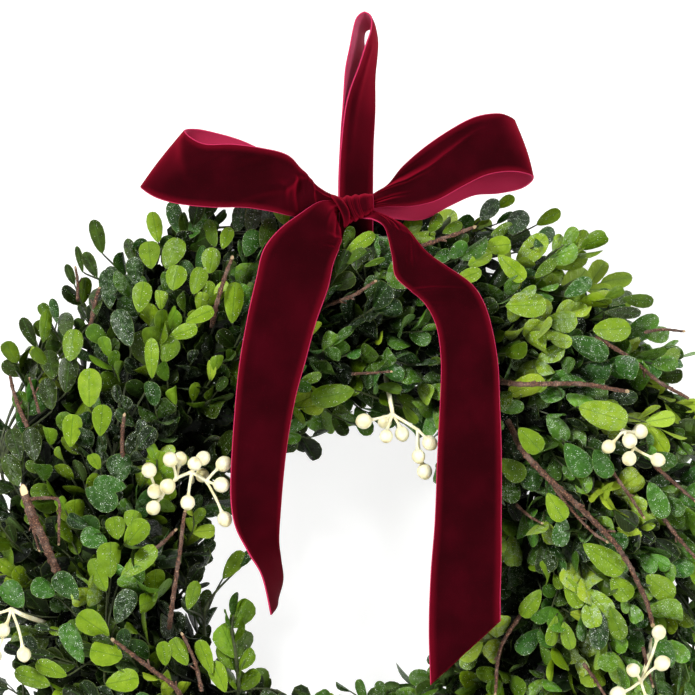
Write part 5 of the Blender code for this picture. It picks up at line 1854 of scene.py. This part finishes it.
class WREATH_OT_foliage(bpy.types.Operator):
    """Make the boxwood bunches"""

    bl_idname = "wreath.foliage"
    bl_label = "Boxwood"

    def execute(self, context):
        sizes, colours = context.scene.wreath_sizes, context.scene.wreath_colours
        finishes = [boxwood_leaf(colours), boxwood_stem(colours)]
        thicket = Thicket()
        for stray in STRAY_LEAVES:
            root, tip = stray_ends(stray)
            thicket.crowded((root * 0.4 + tip * 0.6).tolist(), sizes.leaf_gap)
        rng = np.random.default_rng(sizes.seed + 3)
        for row_name in ROWS:
            for i in range(STATIONS):
                shape, leaves, routes = bunch(row_name, i, sizes, thicket, rng)
                dress(shape, leaves, routes, thicket, sizes)
                name = f"boxwood_{row_name}_{i + 1}"
                show(name + "_foliage", shape.mesh("bunch", 70), finishes, "boxwood", name)
        shape, leaves = Shape(), Leaves()
        route = spline(np.array(SPRIG_STEM) * MM, 4)
        add_stem(shape, route, 1.6, 0.8, 8)
        facing = unit(np.array((0.2, -1.0, 0.1)))
        leafy_shoot(leaves, 0, route, facing, sizes, rng, (0.55, 0.3, 0.3), 6, 1.05)
        dress(shape, {"fine": leaves}, [route], thicket, sizes)
        show("boxwood_sprig_foliage", shape.mesh("sprig", 70), finishes, "boxwood", "boxwood_sprig")
        return {"FINISHED"}


def soft_light(name, place, target, size, power):
    """Adds a square area light, aimed at a point."""
    lamp = bpy.data.lights.new(name, "AREA")
    lamp.shape = "SQUARE"
    lamp.size = size
    lamp.energy = power
    made = bpy.data.objects.new(name, lamp)
    bpy.context.scene.collection.objects.link(made)
    made.location = place
    way = np.array(target) - np.array(place)
    made.rotation_mode = "QUATERNION"
    made.rotation_quaternion = Vector(way).to_track_quat("-Z", "Y")


class WREATH_OT_stage(bpy.types.Operator):
    """Make the wall, the floor, the lights and the camera"""

    bl_idname = "wreath.stage"
    bl_label = "Wall, lights and camera"

    def execute(self, context):
        scene, colours = context.scene, context.scene.wreath_colours
        across = np.linspace(-2.5, 2.5, 3)
        wall = [[(x, WALL_Y, z) for x in across] for z in np.linspace(FLOOR_Z, 2.0, 3)]
        floor = [[(x, y, FLOOR_Z) for x in across] for y in np.linspace(-3.5, WALL_Y, 3)]
        backdrops = (("wall", wall, wall_paint(colours)), ("floor", floor, floor_finish(colours)))
        for name, points, finish in backdrops:
            shape = Shape()
            shape.add(points, [grid_faces(3, 3)])
            mesh = shape.mesh(name)
            mesh.materials.append(finish)
            made = bpy.data.objects.new(name, mesh)
            scene.collection.objects.link(made)
        soft_light("key_light", (-1.2, -1.8, 0.95), LIT_PLACE, 0.50, 61)
        soft_light("fill_light", (1.6, -1.7, 0.2), LIT_PLACE, 0.8, 31)
        soft_light("rear_light", (0.9, 1.6, 0.6), LIT_PLACE, 1.6, 9)
        world = bpy.data.worlds.new("studio")
        world.use_nodes = True
        node = functools.partial(add_node, world.node_tree)
        strength = node("MapRange", {0: background_rays(node), 3: 0.12, 4: 1.0})
        feed(world.node_tree.nodes["Background"], {"Color": linear("#ffffff"), "Strength": strength})
        scene.world = world
        scene.view_settings.view_transform = "Standard"
        lens = bpy.data.cameras.new("camera")
        lens.lens = lens.sensor_width * VIEW_DISTANCE / VIEW_WIDTH
        lens.clip_start, lens.clip_end = 0.05, 20.0
        camera = bpy.data.objects.new("camera", lens)
        scene.collection.objects.link(camera)
        camera.location = (VIEW_X, VIEW_PLANE_Y - VIEW_DISTANCE, VIEW_Z)
        camera.rotation_euler = (math.radians(90), 0.0, 0.0)
        scene.camera = camera
        return {"FINISHED"}


class WREATH_PT_panel(bpy.types.Panel):
    """The wreath's steps, sizes and colours"""

    bl_idname = "WREATH_PT_panel"
    bl_label = "Wreath"
    bl_space_type = "VIEW_3D"
    bl_region_type = "UI"
    bl_category = "Wreath"

    def draw(self, context):
        for step in STEPS:
            self.layout.operator(step.bl_idname)
        for group in (context.scene.wreath_sizes, context.scene.wreath_colours):
            box = self.layout.box()
            for name in group.__annotations__:
                box.prop(group, name)


STEPS = (
    WREATH_OT_stage,
    WREATH_OT_ribbons,
    WREATH_OT_ring,
    WREATH_OT_twigs,
    WREATH_OT_berries,
    WREATH_OT_foliage,
)
CLASSES = (WreathColours, WreathSizes, *STEPS, WREATH_PT_panel)


def register():
    for item in CLASSES:
        bpy.utils.register_class(item)
    bpy.types.Scene.wreath_colours = bpy.props.PointerProperty(type=WreathColours)
    bpy.types.Scene.wreath_sizes = bpy.props.PointerProperty(type=WreathSizes)


def unregister():
    del bpy.types.Scene.wreath_sizes
    del bpy.types.Scene.wreath_colours
    for item in reversed(CLASSES):
        bpy.utils.unregister_class(item)


def main():
    """Makes the whole wreath."""
    register()
    bpy.ops.wreath.stage()
    bpy.ops.wreath.ribbons()
    bpy.ops.wreath.ring()
    bpy.ops.wreath.twigs()
    bpy.ops.wreath.berries()
    bpy.ops.wreath.foliage()
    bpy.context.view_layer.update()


if __name__ == "__main__":
    main()
